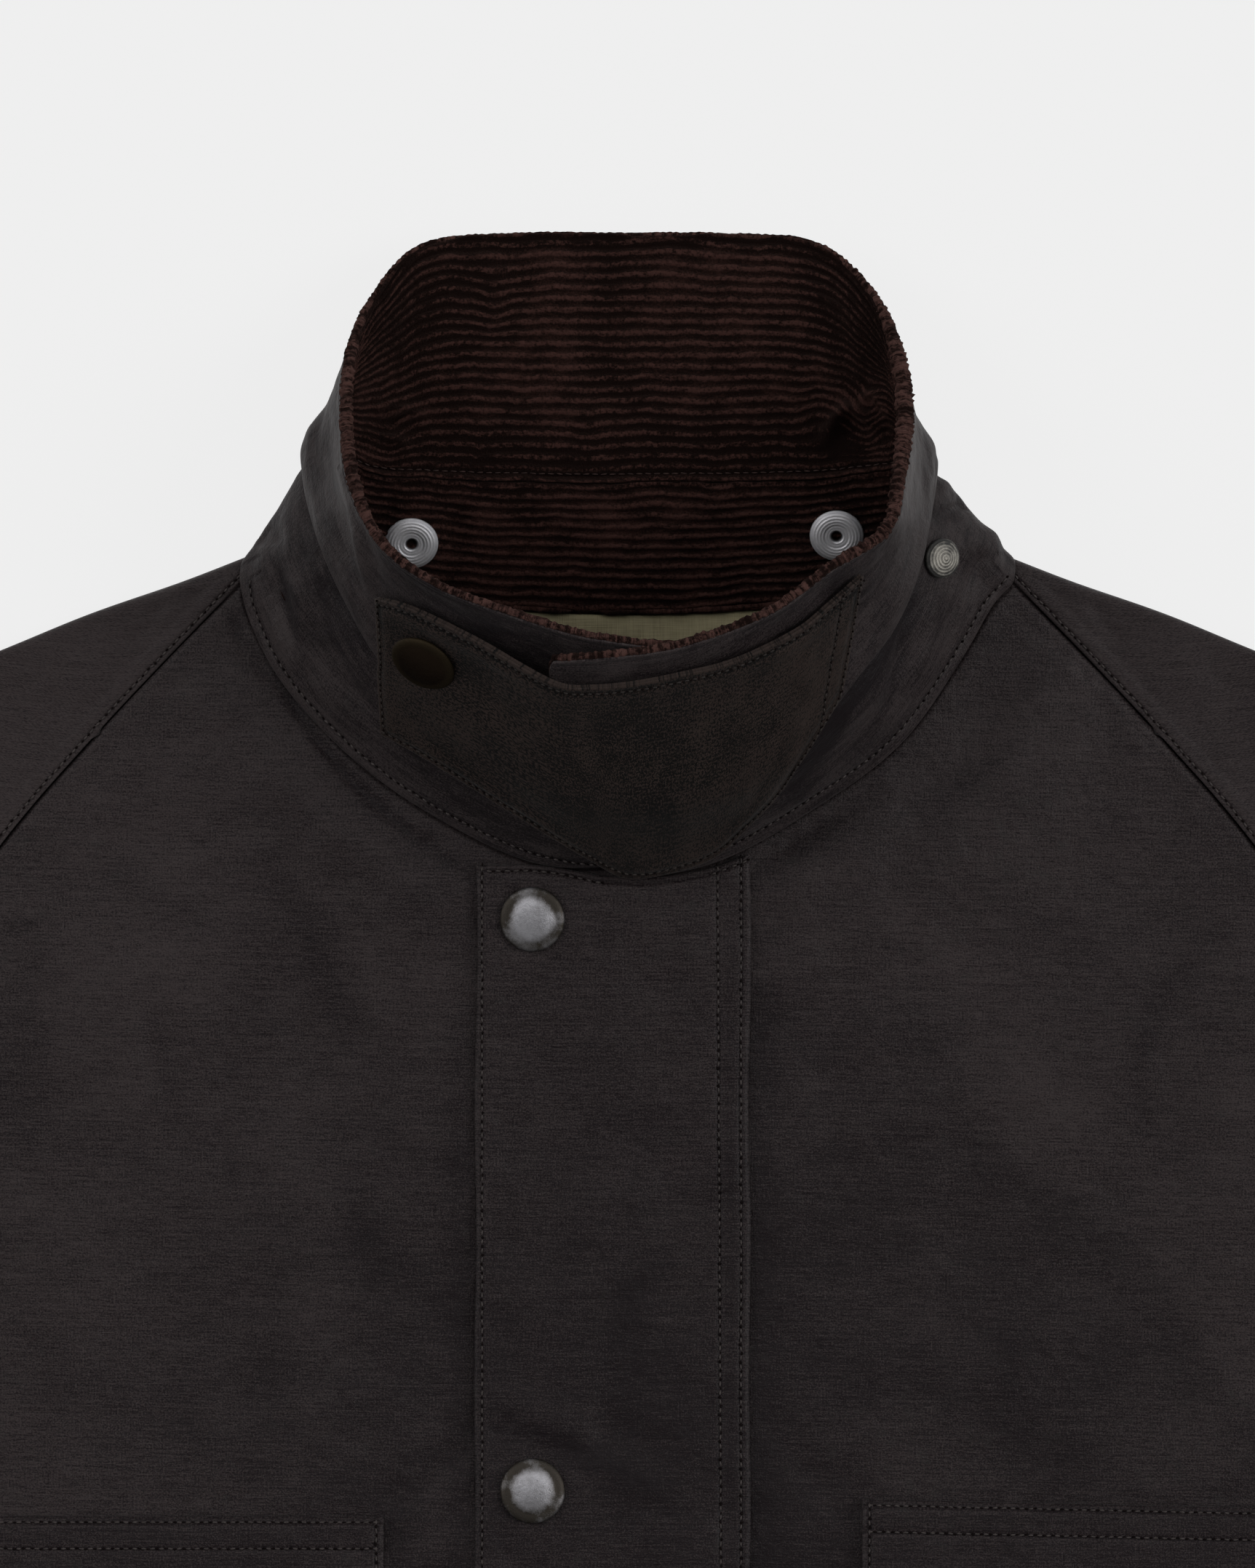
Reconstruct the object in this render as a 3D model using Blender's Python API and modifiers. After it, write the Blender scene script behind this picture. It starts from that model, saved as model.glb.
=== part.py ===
"""A waxed cotton jacket laid flat on its back, its corduroy-lined collar standing open.

All sizes are in millimetres until place() turns them into metres. x runs across the jacket from
its centre line, y runs up it from a datum at the throat, and z is the height above the surface
that it lies on. "Left" is the side at negative x.
"""

import math

import bmesh
import bpy
from mathutils import Vector

MM = 0.001
DATUM_Y = 220.985  # from the middle of the laid jacket's length up to the datum at the throat

# Walls and clearances
WALL = 1.2
CORD_WALL = 1.5
FLY_WALL = 1.8
TAB_WALL = 2.0
LINING_WALL = 1.0
SEAM_GAP = 0.3
CLEAR = 0.3

# How the two layers lie on each other
STACK = 3.0  # height over both layers at a folded edge
CROWN = 2.6  # how much more the top layer rises away from the edges
CROWN_REACH = 28.0
NECK_REACH = 45.0  # how far the collar lifts the fronts around the neck seam

# Body
BACK_COLUMNS = 14
FRONT_COLUMNS = 9
LINING_COLUMNS = 8
HEM_Y = -580.0
HEM_HALF = 281.0
FLY_TOP = ((-37.3, -20.3), (-20.0, -20.5), (0.0, -24.2), (15.0, -22.8), (30.1, -17.5))
LINING_DEPTH = 30.0
LINING_TAPER = 0.9  # its lower edge is this much narrower

# Pockets and flaps
POCKET_OUTER = 240.0
POCKET_LENGTH = 215.0
POCKET_CROWN = 1.6
FLAP_DEPTH = 65.0
FLAP_OVERHANG = 3.0
FLAP_STEP = 2.4  # the flap climbs on to the pocket's top edge within this
FLAP_DROPS = (FLAP_DEPTH, 45.0, 25.0, 10.0, 2.0, 0.0)  # rows of the flap below its top edge
POCKET_STEPS = 7
POCKETS = (  # side, inner x, y of the flap's top at its inner and its outer end
    {"side": -1, "inner": 60.6, "inner_y": -181.3, "outer_y": -181.3},
    {"side": 1, "inner": 58.3, "inner_y": -177.1, "outer_y": -181.1},
)

# Snaps and studs
SNAP_X = -23.5
SNAP_FIRST_Y = -33.3
SNAP_PITCH = 141.7
SNAP_COUNT = 4
SNAP_RADIUS = 8.25
TAB_SNAP = {"share": 0.655, "column": 1.17}
TAB_SNAP_SEAT = 0.6  # the cap spans the bend of the tab
ROUND_STEPS = 24

# A sleeve, one row for each section: the fold over the arm, the seam to the front panel and the
# seam to the back panel. Below the underarm both seams are the fold under the arm.
SLEEVE_COLUMNS = ("over_x", "over_y", "front_x", "front_y", "back_x", "back_y")
SLEEVE = (
    (94.6, 56.2, 95.2, 50.2, 72.0, 48.6),
    (110.6, 50.0, 101.0, 44.2, 90.0, 33.0),
    (133.0, 42.2, 115.0, 29.8, 112.0, 7.0),
    (155.0, 33.2, 133.0, 10.5, 138.0, -25.0),
    (190.0, 19.0, 155.5, -15.8, 166.0, -65.0),
    (235.0, -0.5, 192.0, -66.0, 200.0, -112.0),
    (285.0, -27.0, 232.0, -135.0, 236.0, -168.0),
    (322.0, -52.0, 262.0, -198.0, 264.0, -215.0),
    (352.0, -76.0, 285.0, -250.0, 285.0, -250.0),
    (430.0, -137.0, 345.0, -300.0, 345.0, -300.0),
    (510.0, -211.0, 408.0, -356.0, 408.0, -356.0),
    (585.0, -300.0, 472.0, -416.0, 472.0, -416.0),
    (645.0, -398.0, 528.0, -475.0, 528.0, -475.0),
)
UNDERARM_ROW = 8

# The collar, one row for each section around the neck, from the left end, which lies beneath, by
# way of the back to the right end, which lies on top: the neck seam, the fold between stand and
# leaf, and the leaf's free edge.
COLLAR_COLUMNS = (
    "seam_x", "seam_y", "seam_z", "fold_x", "fold_y", "fold_z", "edge_x", "edge_y", "edge_z",
)
COLLAR = (
    (16.0, -17.2, 10.4, 16.0, 8.2, 37.0, 15.0, 34.0, 67.0),
    (0.0, -20.0, 10.4, 0.0, 5.0, 37.0, 0.0, 35.5, 72.0),
    (-22.0, -19.5, 10.8, -17.5, 8.5, 36.5, -14.0, 38.0, 72.0),
    (-45.0, -9.2, 10.3, -38.0, 17.5, 36.0, -30.0, 43.0, 70.0),
    (-66.0, 5.0, 9.3, -56.0, 30.5, 33.5, -47.0, 49.5, 68.0),
    (-83.0, 22.3, 8.2, -66.0, 46.5, 31.5, -60.5, 59.6, 64.0),
    (-92.0, 37.5, 7.0, -72.6, 61.5, 30.0, -67.6, 75.0, 57.0),
    (-95.2, 50.2, 5.9, -76.2, 76.0, 27.0, -69.5, 91.5, 44.0),
    (-90.5, 54.6, 3.6, -75.0, 84.0, 24.0, -68.2, 107.0, 31.5),
    (-72.0, 49.0, 1.8, -64.0, 78.0, 17.0, -62.2, 121.5, 19.0),
    (-48.0, 43.7, 1.6, -47.5, 76.2, 13.5, -50.0, 134.0, 12.0),
    (-23.0, 41.1, 1.6, -23.0, 75.5, 10.5, -26.0, 136.6, 9.5),
    (0.0, 40.3, 1.6, 0.0, 75.3, 9.0, -2.0, 136.6, 8.5),
    (23.0, 41.1, 1.6, 23.0, 75.5, 10.5, 23.0, 136.5, 9.5),
    (48.0, 43.7, 1.6, 45.5, 76.2, 13.5, 46.0, 134.2, 12.0),
    (72.0, 49.0, 1.8, 62.0, 78.0, 17.0, 60.3, 121.5, 19.0),
    (92.0, 55.2, 3.6, 71.0, 80.0, 22.0, 66.8, 105.5, 31.0),
    (95.2, 50.2, 5.9, 72.3, 77.0, 26.5, 68.6, 90.5, 44.0),
    (89.8, 43.8, 7.2, 70.8, 65.0, 29.0, 66.8, 75.0, 57.0),
    (81.0, 29.0, 8.6, 67.0, 49.5, 32.0, 63.4, 62.5, 65.0),
    (67.0, 10.2, 9.8, 57.5, 29.0, 35.5, 49.8, 53.5, 70.0),
    (47.0, -4.7, 10.7, 42.0, 11.5, 38.5, 35.2, 43.0, 72.5),
    (23.0, -18.2, 11.0, 19.5, 0.0, 39.0, 15.0, 35.3, 74.0),
    (0.0, -23.0, 11.0, 0.0, -3.0, 38.5, 0.0, 32.6, 74.0),
    (-20.0, -23.0, 11.0, -19.0, -1.0, 38.5, -20.0, 31.0, 73.5),
)
FLY_STEPS = 14
NECK_MIDDLE = (0.0, -22.0, 11.0)
LEFT_END = (1.125, -0.5625)  # row where the strip starts, and its change from seam to fold
RIGHT_END = (22.9, 0.55)
COLLAR_STEPS = 46
STAND_HEIGHT = 38.0
STAND_RISES = (0.02, 0.35, 0.67, 0.96)
LEAF_RISES = (1.01, 1.12, 1.26, 1.42, 1.65, 1.97)
CORD_EDGE = 2.02  # the corduroy stands this little past the waxed leaf
ROLL = 3.0  # how far the leaf's lower edge rolls out over the stand
ROLL_AT = 1.1
ROLL_REACH = 0.26
HALF_BOND = 0.15

# The throat tab, one row for each column of it: its lower and its upper end, how far it stands
# off the collar, and the collar row to look near.
TAB_COLUMNS = ("low_x", "low_y", "top_x", "top_y", "lift", "near")
TAB = (
    (-61.0, 12.2, -62.4, 45.0, 2.2, 4.5),
    (-50.7, 6.5, -53.5, 42.5, 2.1, 4.0),
    (-34.7, -3.4, -37.0, 34.5, 3.2, 3.0),
    (-15.4, -15.3, -18.0, 24.2, 2.5, 24.0),
    (-7.0, -20.4, -8.6, 23.1, 2.5, 23.4),
    (0.5, -23.6, 1.7, 24.0, 2.6, 23.0),
    (10.5, -22.3, 13.0, 26.2, 2.7, 22.5),
    (21.0, -18.7, 23.5, 28.6, 3.0, 22.0),
    (28.5, -12.3, 33.0, 32.4, 3.0, 21.5),
    (37.2, -3.1, 43.2, 37.8, 2.9, 21.0),
    (43.9, 6.8, 50.0, 43.4, 2.4, 20.6),
    (53.4, 22.0, 58.0, 50.5, 1.8, 20.0),
)
TAB_STEPS = 7

# Turned hardware, as (radius, height) from the top of the axis down the outside
SNAP_PROFILE = (
    (0.0, 2.7), (3.2, 2.5), (5.6, 1.8), (6.4, 1.5), (7.0, 1.8),
    (7.8, 1.7), (SNAP_RADIUS, 1.1), (8.1, 0.3), (7.5, 0.0), (0.0, 0.0),
)
STUD_PROFILE = (
    (0.0, 2.3), (1.2, 2.15), (2.6, 1.8), (3.9, 1.35), (4.6, 1.0), (4.95, 0.5), (4.9, 0.0), (0.0, 0.0),
)
EYELET_PROFILE = (
    (1.6, 0.2), (1.6, 0.7), (2.2, 1.1), (4.6, 1.15), (6.2, 0.75), (6.7, 0.0), (2.0, 0.0),
)
EYELETS = (  # a washer inside the stand: its collar row and how far it is up the stand
    {"name": "left", "row": 9.74, "rise": 0.485},
    {"name": "right", "row": 14.24, "rise": 0.545},
)
SIDE_STUD = {"row": 18.18, "rise": 0.71}


def place(x, y, z):
    """A point given in millimetres from the datum, in metres in the part's own frame."""
    return Vector((x * MM, (y + DATUM_Y) * MM, z * MM))


def named(columns, row):
    return dict(zip(columns, row))


def material(name, colour, roughness, metallic=0.0):
    made = bpy.data.materials.new(name)
    made.use_nodes = True
    shader = made.node_tree.nodes["Principled BSDF"]
    shader.inputs["Base Color"].default_value = (*colour, 1.0)
    shader.inputs["Roughness"].default_value = roughness
    shader.inputs["Metallic"].default_value = metallic
    made.diffuse_color = (*colour, 1.0)
    return made


# ---------------------------------------------------------------- curves and distances


def lerp(a, b, share):
    return a + (b - a) * share


def smooth_row(table, at):
    """Every column of a table, read between two rows along a Catmull-Rom curve."""
    last = len(table) - 1
    row = min(max(int(math.floor(at)), 0), last - 1)
    f = at - row
    near = [table[min(max(row + step, 0), last)] for step in (-1, 0, 1, 2)]
    return tuple(
        b + 0.5 * f * (c - a + f * (2 * a - 5 * b + 4 * c - d + f * (3 * (b - c) + d - a)))
        for a, b, c, d in zip(*near)
    )


def distance_to_line(x, y, points):
    """The distance to a line of straight runs, with the run and the place on it."""
    best = (math.inf, 0, 0.0)
    for index, (a, b) in enumerate(zip(points, points[1:])):
        run_x, run_y = b[0] - a[0], b[1] - a[1]
        along = ((x - a[0]) * run_x + (y - a[1]) * run_y) / (run_x**2 + run_y**2)
        along = min(max(along, 0.0), 1.0)
        gap = math.hypot(x - a[0] - along * run_x, y - a[1] - along * run_y)
        best = min(best, (gap, index, along))
    return best


OVERARM = [(row[0], row[1]) for row in SLEEVE]
UNDERARM = [(row[2], row[3]) for row in SLEEVE[UNDERARM_ROW:]]
SIDE_SEAM = [(285.0, -250.0), (284.0, -316.0), (283.0, -382.0), (282.0, -448.0), (281.0, -514.0),
             (HEM_HALF, HEM_Y)]
UNDER_EDGE = UNDERARM[::-1] + SIDE_SEAM[1:]
NECK_LINE = (
    [COLLAR[row][:3] for row in range(8, 1, -1)]
    + [NECK_MIDDLE]
    + [COLLAR[row][:3] for row in range(22, 15, -1)]
)


def flat_height(x, y):
    """The top layer's outer height where the collar doesn't lift it."""
    gap = min(distance_to_line(abs(x), y, edge)[0] for edge in (OVERARM, UNDER_EDGE))
    return STACK + CROWN * (1 - math.exp(-((gap / CROWN_REACH) ** 2)))


def height(x, y):
    """The outer height of the top layer, which rises to the collar around the neck seam."""
    gap, index, along = distance_to_line(x, y, NECK_LINE)
    seam = lerp(NECK_LINE[index][2], NECK_LINE[index + 1][2], along)
    return lerp(flat_height(x, y), seam, math.exp(-((gap / NECK_REACH) ** 2)))


# ---------------------------------------------------------------- making sheets


def new_object(name, mesh, look):
    made = bpy.data.objects.new(name, mesh)
    made.data.materials.append(look)
    JACKET.objects.link(made)
    return made


def sheet(name, rows, wall, look):
    """A loft through rows of points, with a wall added on the side that its faces look to."""
    bm = bmesh.new()
    grid = [[bm.verts.new(point) for point in row] for row in rows]
    for lower, upper in zip(grid, grid[1:]):
        for a, b, c, d in zip(lower, lower[1:], upper[1:], upper):
            bm.faces.new((a, b, c, d))
    bmesh.ops.remove_doubles(bm, verts=bm.verts, dist=0.01 * MM)
    bmesh.ops.triangulate(bm, faces=bm.faces, quad_method="SHORT_EDGE")
    mesh = bpy.data.meshes.new(name)
    bm.to_mesh(mesh)
    bm.free()
    mesh.shade_smooth()
    made = new_object(name, mesh, look)
    shell = made.modifiers.new("wall", "SOLIDIFY")
    shell.thickness = abs(wall) * MM
    shell.offset = math.copysign(1, wall)
    shell.use_even_offset = True
    shell.use_quality_normals = True
    return made


def turned(name, profile, look, point, normal):
    """A piece turned about its own axis, standing on a point of the cloth."""
    bm = bmesh.new()
    verts = [bm.verts.new((radius * MM, 0.0, rise * MM)) for radius, rise in profile]
    for a, b in zip(verts, verts[1:]):
        bm.edges.new((a, b))
    if profile[0][0] > 0:
        bm.edges.new((verts[-1], verts[0]))
    mesh = bpy.data.meshes.new(name)
    bm.to_mesh(mesh)
    bm.free()
    made = new_object(name, mesh, look)
    screw = made.modifiers.new("turn", "SCREW")
    screw.steps = screw.render_steps = ROUND_STEPS
    screw.use_merge_vertices = True
    screw.merge_threshold = 0.00001
    screw.use_smooth_shade = True
    made.location = point
    made.rotation_mode = "QUATERNION"
    made.rotation_quaternion = Vector((0, 0, 1)).rotation_difference(normal)
    return made


# ---------------------------------------------------------------- body panels


def along_line(points, count):
    """Evenly spaced points along a line of straight runs."""
    lengths = [math.dist(a[:2], b[:2]) for a, b in zip(points, points[1:])]
    whole = sum(lengths)
    found = []
    for step in range(count + 1):
        left = whole * step / count
        index = 0
        while index < len(lengths) - 1 and left > lengths[index]:
            left -= lengths[index]
            index += 1
        share = min(left / lengths[index], 1.0)
        found.append(tuple(lerp(a, b, share) for a, b in zip(points[index], points[index + 1])))
    return found


def coons(left, right, bottom, top):
    """Rows of (x, y) that fill the space between four edges, each an even list of points."""
    rows = []
    for j, (l, r) in enumerate(zip(left, right)):
        v = j / (len(left) - 1)
        row = []
        for k, (b, t) in enumerate(zip(bottom, top)):
            u = k / (len(bottom) - 1)
            row.append(tuple(
                lerp(b[i], t[i], v) + lerp(l[i], r[i], u)
                - lerp(lerp(bottom[0][i], bottom[-1][i], u), lerp(top[0][i], top[-1][i], u), v)
                for i in (0, 1)
            ))
        rows.append(row)
    return rows


def neck_edge(first, last, count, sink):
    """Points along the neck seam between two collar rows, moved down the jacket by sink."""
    points = [smooth_row(COLLAR, lerp(first, last, step / 24))[:2] for step in range(25)]
    return [(x, y - sink) for x, y in along_line(points, count)]


def side_edge(seam, side):
    """The outer edge of a body panel from the hem up: its side seam and its raglan seam."""
    raglan = [(row[f"{seam}_x"], row[f"{seam}_y"]) for row in SLEEVE_ROWS[: UNDERARM_ROW + 1]]
    points = SIDE_SEAM[:0:-1] + raglan[::-1]
    return [(side * (x - SEAM_GAP), y) for x, y in points]


def spaced_like(points, start, end):
    """Points on the straight run from start to end, spaced as the given ones are."""
    lengths = [0.0]
    for a, b in zip(points, points[1:]):
        lengths.append(lengths[-1] + math.dist(a, b))
    return [
        (lerp(start[0], end[0], s / lengths[-1]), lerp(start[1], end[1], s / lengths[-1]))
        for s in lengths
    ]


def make_back():
    """The back panel, whose outer face is the flat underside of the laid jacket."""
    right = side_edge("back", 1)
    left = [(-x, y) for x, y in right]
    columns = BACK_COLUMNS
    half = HEM_HALF - SEAM_GAP
    bottom = [(lerp(-half, half, k / columns), HEM_Y) for k in range(columns + 1)]
    top = neck_edge(9.0, 15.0, columns, 2 * SEAM_GAP)
    left[-1], right[-1] = top[0], top[-1]
    rows = coons(left, right, bottom, top)
    sheet("back", [[place(x, y, 0.0) for x, y in row] for row in rows], WALL, WAXED)


def make_front(side):
    """A front panel, from the middle to its side seam and its raglan seam."""
    columns = FRONT_COLUMNS
    outer = side_edge("front", side)
    seam_rows = (1.0, 7.0) if side < 0 else (23.0, 17.0)
    top = neck_edge(*seam_rows, columns, SEAM_GAP)
    top[0] = (side * SEAM_GAP / 2, top[0][1])
    top[-1] = outer[-1]
    middle = spaced_like(outer, (top[0][0], HEM_Y), top[0])
    bottom = [
        (lerp(middle[0][0], outer[0][0], k / columns), HEM_Y) for k in range(columns + 1)
    ]
    rows = coons(middle, outer, bottom, top)
    if side < 0:
        rows = [row[::-1] for row in rows]
    points = [[place(x, y, height(x, y) - WALL) for x, y in row] for row in rows]
    sheet("front_left" if side < 0 else "front_right", points, WALL, WAXED)


def make_lining():
    """The strip inside the back neck, which shows through the neck opening."""
    columns = LINING_COLUMNS
    top = neck_edge(9.4, 14.6, columns, 2 * SEAM_GAP)
    bottom = [(x * LINING_TAPER, y - LINING_DEPTH) for x, y in top]
    rows = [
        [(lerp(b[0], t[0], v), lerp(b[1], t[1], v)) for b, t in zip(bottom, top)]
        for v in (0.0, 0.5, 1.0)
    ]
    lift = WALL + CLEAR
    points = [[place(x, y, lift) for x, y in row] for row in rows]
    sheet("neck_lining", points, LINING_WALL, LINING)


# ---------------------------------------------------------------- sleeves


def sleeve_section(row, closed):
    """One section of the sleeve: from its back seam under and over the fold to its front seam."""
    over = (row["over_x"], row["over_y"])
    front = (row["front_x"], row["front_y"])
    back = (row["back_x"], row["back_y"])
    if not closed:
        front = (front[0] + SEAM_GAP, front[1])
        back = (back[0] + SEAM_GAP, back[1])
    top = height(*over)
    radius = top / 2
    seam_radius = STACK / 2
    under_run = math.dist(over, back)
    top_run = math.dist(over, front)
    points = []

    def add(seam, run, inward, rise):
        share = inward / run
        points.append((lerp(seam[0], over[0], share), lerp(seam[1], over[1], share), rise))

    quarter = [math.radians(a) for a in (0, 45, 90)]
    for angle in quarter:
        rise = seam_radius * (1 - math.sin(angle)) if closed else 0.0
        add(back, under_run, seam_radius * (1 - math.cos(angle)), rise)
    for share in (0.25, 0.5, 0.75):
        add(back, under_run, lerp(seam_radius, under_run - radius, share), 0.0)
    for angle in (math.radians(a) for a in (-90, -45, 0)):
        add(back, under_run, under_run - radius * (1 - math.cos(angle)),
            radius * (1 + math.sin(angle)))
    for angle in (math.radians(a) for a in (45, 90)):
        add(front, top_run, top_run - radius * (1 - math.cos(angle)),
            radius * (1 + math.sin(angle)))
    flat = []
    for share in (0.1, 0.25, 0.42, 0.6, 0.8):
        inward = lerp(top_run - radius, seam_radius, share) / top_run
        x = lerp(front[0], over[0], inward)
        y = lerp(front[1], over[1], inward)
        flat.append((x, y, height(x, y)))
    points += flat
    for angle in reversed(quarter):
        inward = seam_radius * (1 - math.cos(angle))
        share = inward / top_run
        x, y = lerp(front[0], over[0], share), lerp(front[1], over[1], share)
        rise = seam_radius * (1 + math.sin(angle)) if closed else height(x, y)
        points.append((x, y, rise))
    return points


def make_sleeve(side):
    sections = []
    for index in range(2 * len(SLEEVE) - 1 - UNDERARM_ROW):
        at = index if index <= UNDERARM_ROW else UNDERARM_ROW + (index - UNDERARM_ROW) / 2
        row = named(SLEEVE_COLUMNS, smooth_row(SLEEVE, at))
        if at > UNDERARM_ROW:
            row["back_x"], row["back_y"] = row["front_x"], row["front_y"]
        sections.append(sleeve_section(row, at >= UNDERARM_ROW))
    rows = [[place(side * x, y, z) for x, y, z in section] for section in sections]
    if side < 0:
        rows = [row[::-1] for row in rows]
    sheet("sleeve_left" if side < 0 else "sleeve_right", rows, -WALL, WAXED)


# ---------------------------------------------------------------- collar


def roll(rise):
    """How far the leaf stands off at this rise, where its lower edge rolls over the stand."""
    return ROLL * math.exp(-(((rise - ROLL_AT) / ROLL_REACH) ** 2))


def collar_point(at, rise):
    """A point between the collar's two cloths: rise 0 is the neck seam, 1 the fold, 2 the edge.

    Below the neck seam it goes on over the front panel.
    """
    row = named(COLLAR_COLUMNS, smooth_row(COLLAR, at))
    seam, fold, edge = (
        Vector((row[f"{line}_x"], row[f"{line}_y"], row[f"{line}_z"]))
        for line in ("seam", "fold", "edge")
    )
    if rise < 0:
        down = Vector((fold.x - seam.x, fold.y - seam.y)).normalized() * (rise * STAND_HEIGHT)
        x, y = seam.x + down.x, seam.y + down.y
        return Vector((x, y, height(x, y)))
    return seam.lerp(fold, rise) if rise < 1 else fold.lerp(edge, rise - 1)


def collar_lifted(at, rise, lift):
    """The same point, moved off along the collar's outward normal, and that normal."""
    step = 0.05
    across = collar_point(at + step, rise) - collar_point(at - step, rise)
    up = collar_point(at, rise + step) - collar_point(at, rise - step)
    normal = up.cross(across).normalized()
    return collar_point(at, rise) + normal * lift, normal


def collar_rows(rises, lift, rolled):
    rows = []
    for rise in rises:
        off = lift + roll(rise) if rolled else lift
        first = LEFT_END[0] + LEFT_END[1] * rise
        last = RIGHT_END[0] + RIGHT_END[1] * rise
        rows.append([
            place(*collar_lifted(lerp(first, last, k / COLLAR_STEPS), rise, off)[0])
            for k in range(COLLAR_STEPS + 1)
        ])
    return rows


def make_collar():
    for name, rises, rolled in (
        ("collar_stand", STAND_RISES, False),
        ("collar_leaf", LEAF_RISES, True),
    ):
        rows = collar_rows(rises, HALF_BOND, rolled)
        sheet(name, [row[::-1] for row in rows], WALL, WAXED)
    for name, rises in (
        ("corduroy_stand", STAND_RISES),
        ("corduroy_leaf", (*LEAF_RISES, CORD_EDGE)),
    ):
        sheet(name, collar_rows(rises, -HALF_BOND, False), CORD_WALL, CORDUROY)


def over_collar(x, y, lift, near):
    """The collar row and rise whose point, moved off by lift, lies at (x, y) seen from above."""
    at, rise = near, 0.6
    for _ in range(14):
        here = collar_lifted(at, rise, lift + roll(rise))[0]
        step = 0.01
        d_at = (collar_lifted(at + step, rise, lift + roll(rise))[0] - here) / step
        d_rise = (collar_lifted(at, rise + step, lift + roll(rise + step))[0] - here) / step
        miss_x, miss_y = x - here.x, y - here.y
        whole = d_at.x * d_rise.y - d_at.y * d_rise.x
        at += max(min((miss_x * d_rise.y - miss_y * d_rise.x) / whole, 1.0), -1.0)
        rise += max(min((d_at.x * miss_y - d_at.y * miss_x) / whole, 0.3), -0.3)
    return at, rise


def tab_point(share, column):
    """A point of the tab's underside, with its normal: share 0 is its lower edge.

    The table gives the outline of the outer face, which is a wall further out.
    """
    row = named(TAB_COLUMNS, smooth_row(TAB, column))
    x = lerp(row["low_x"], row["top_x"], share)
    y = lerp(row["low_y"], row["top_y"], share)
    at, rise = over_collar(x, y, row["lift"] + TAB_WALL, row["near"])
    return collar_lifted(at, rise, row["lift"] + roll(rise))


def make_tab():
    rows = []
    for j in range(TAB_STEPS + 1):
        share = j / TAB_STEPS
        rows.append([place(*tab_point(share, column)[0]) for column in range(len(TAB))])
    sheet("throat_tab", rows, TAB_WALL, TAB_CLOTH)


# ---------------------------------------------------------------- fly, pockets and flaps


def make_fly():
    """The storm fly, whose rows crowd towards the neck, where the front rises."""
    rows = []
    for step in range(FLY_STEPS + 1):
        share = math.sin(math.pi / 2 * step / FLY_STEPS)
        line = [(x, lerp(HEM_Y, top, share)) for x, top in FLY_TOP]
        rows.append([place(x, y, height(x, y) + CLEAR) for x, y in line])
    sheet("storm_fly", rows, FLY_WALL, WAXED)


def fly_top(x, y):
    return height(x, y) + CLEAR + FLY_WALL


def pocket_height(x, y, row, top_y):
    """The outer height of a pocket, which is slack in its middle."""
    across = (abs(x) - row["inner"]) / (POCKET_OUTER - row["inner"])
    down = (top_y - y) / POCKET_LENGTH
    slack = math.prod(math.sin(math.pi * min(max(f, 0.0), 1.0)) for f in (across, down))
    return height(x, y) + CLEAR + WALL + POCKET_CROWN * slack


def make_pocket(row):
    name = "left" if row["side"] < 0 else "right"
    columns = [j / POCKET_STEPS for j in range(POCKET_STEPS + 1)]
    pocket, flap = [], []
    for down in columns[::-1]:
        line = []
        for across in columns:
            x = row["side"] * lerp(row["inner"] + FLAP_OVERHANG, POCKET_OUTER, across)
            top = lerp(row["inner_y"], row["outer_y"], across) - FLAP_STEP
            y = top - POCKET_LENGTH * down
            line.append(place(x, y, pocket_height(x, y, row, top) - WALL))
        pocket.append(line)
    for drop in FLAP_DROPS:
        line = []
        for across in columns:
            x = row["side"] * lerp(row["inner"], POCKET_OUTER + FLAP_OVERHANG, across)
            top = lerp(row["inner_y"], row["outer_y"], across)
            y = top - drop
            rise = height(x, y) if drop == 0 else pocket_height(x, y, row, top - FLAP_STEP)
            line.append(place(x, y, rise + CLEAR))
        flap.append(line)
    if row["side"] < 0:
        pocket = [line[::-1] for line in pocket]
        flap = [line[::-1] for line in flap]
    sheet(f"pocket_{name}", pocket, WALL, WAXED)
    sheet(f"flap_{name}", flap, WALL, WAXED)


# ---------------------------------------------------------------- snaps and studs


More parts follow.
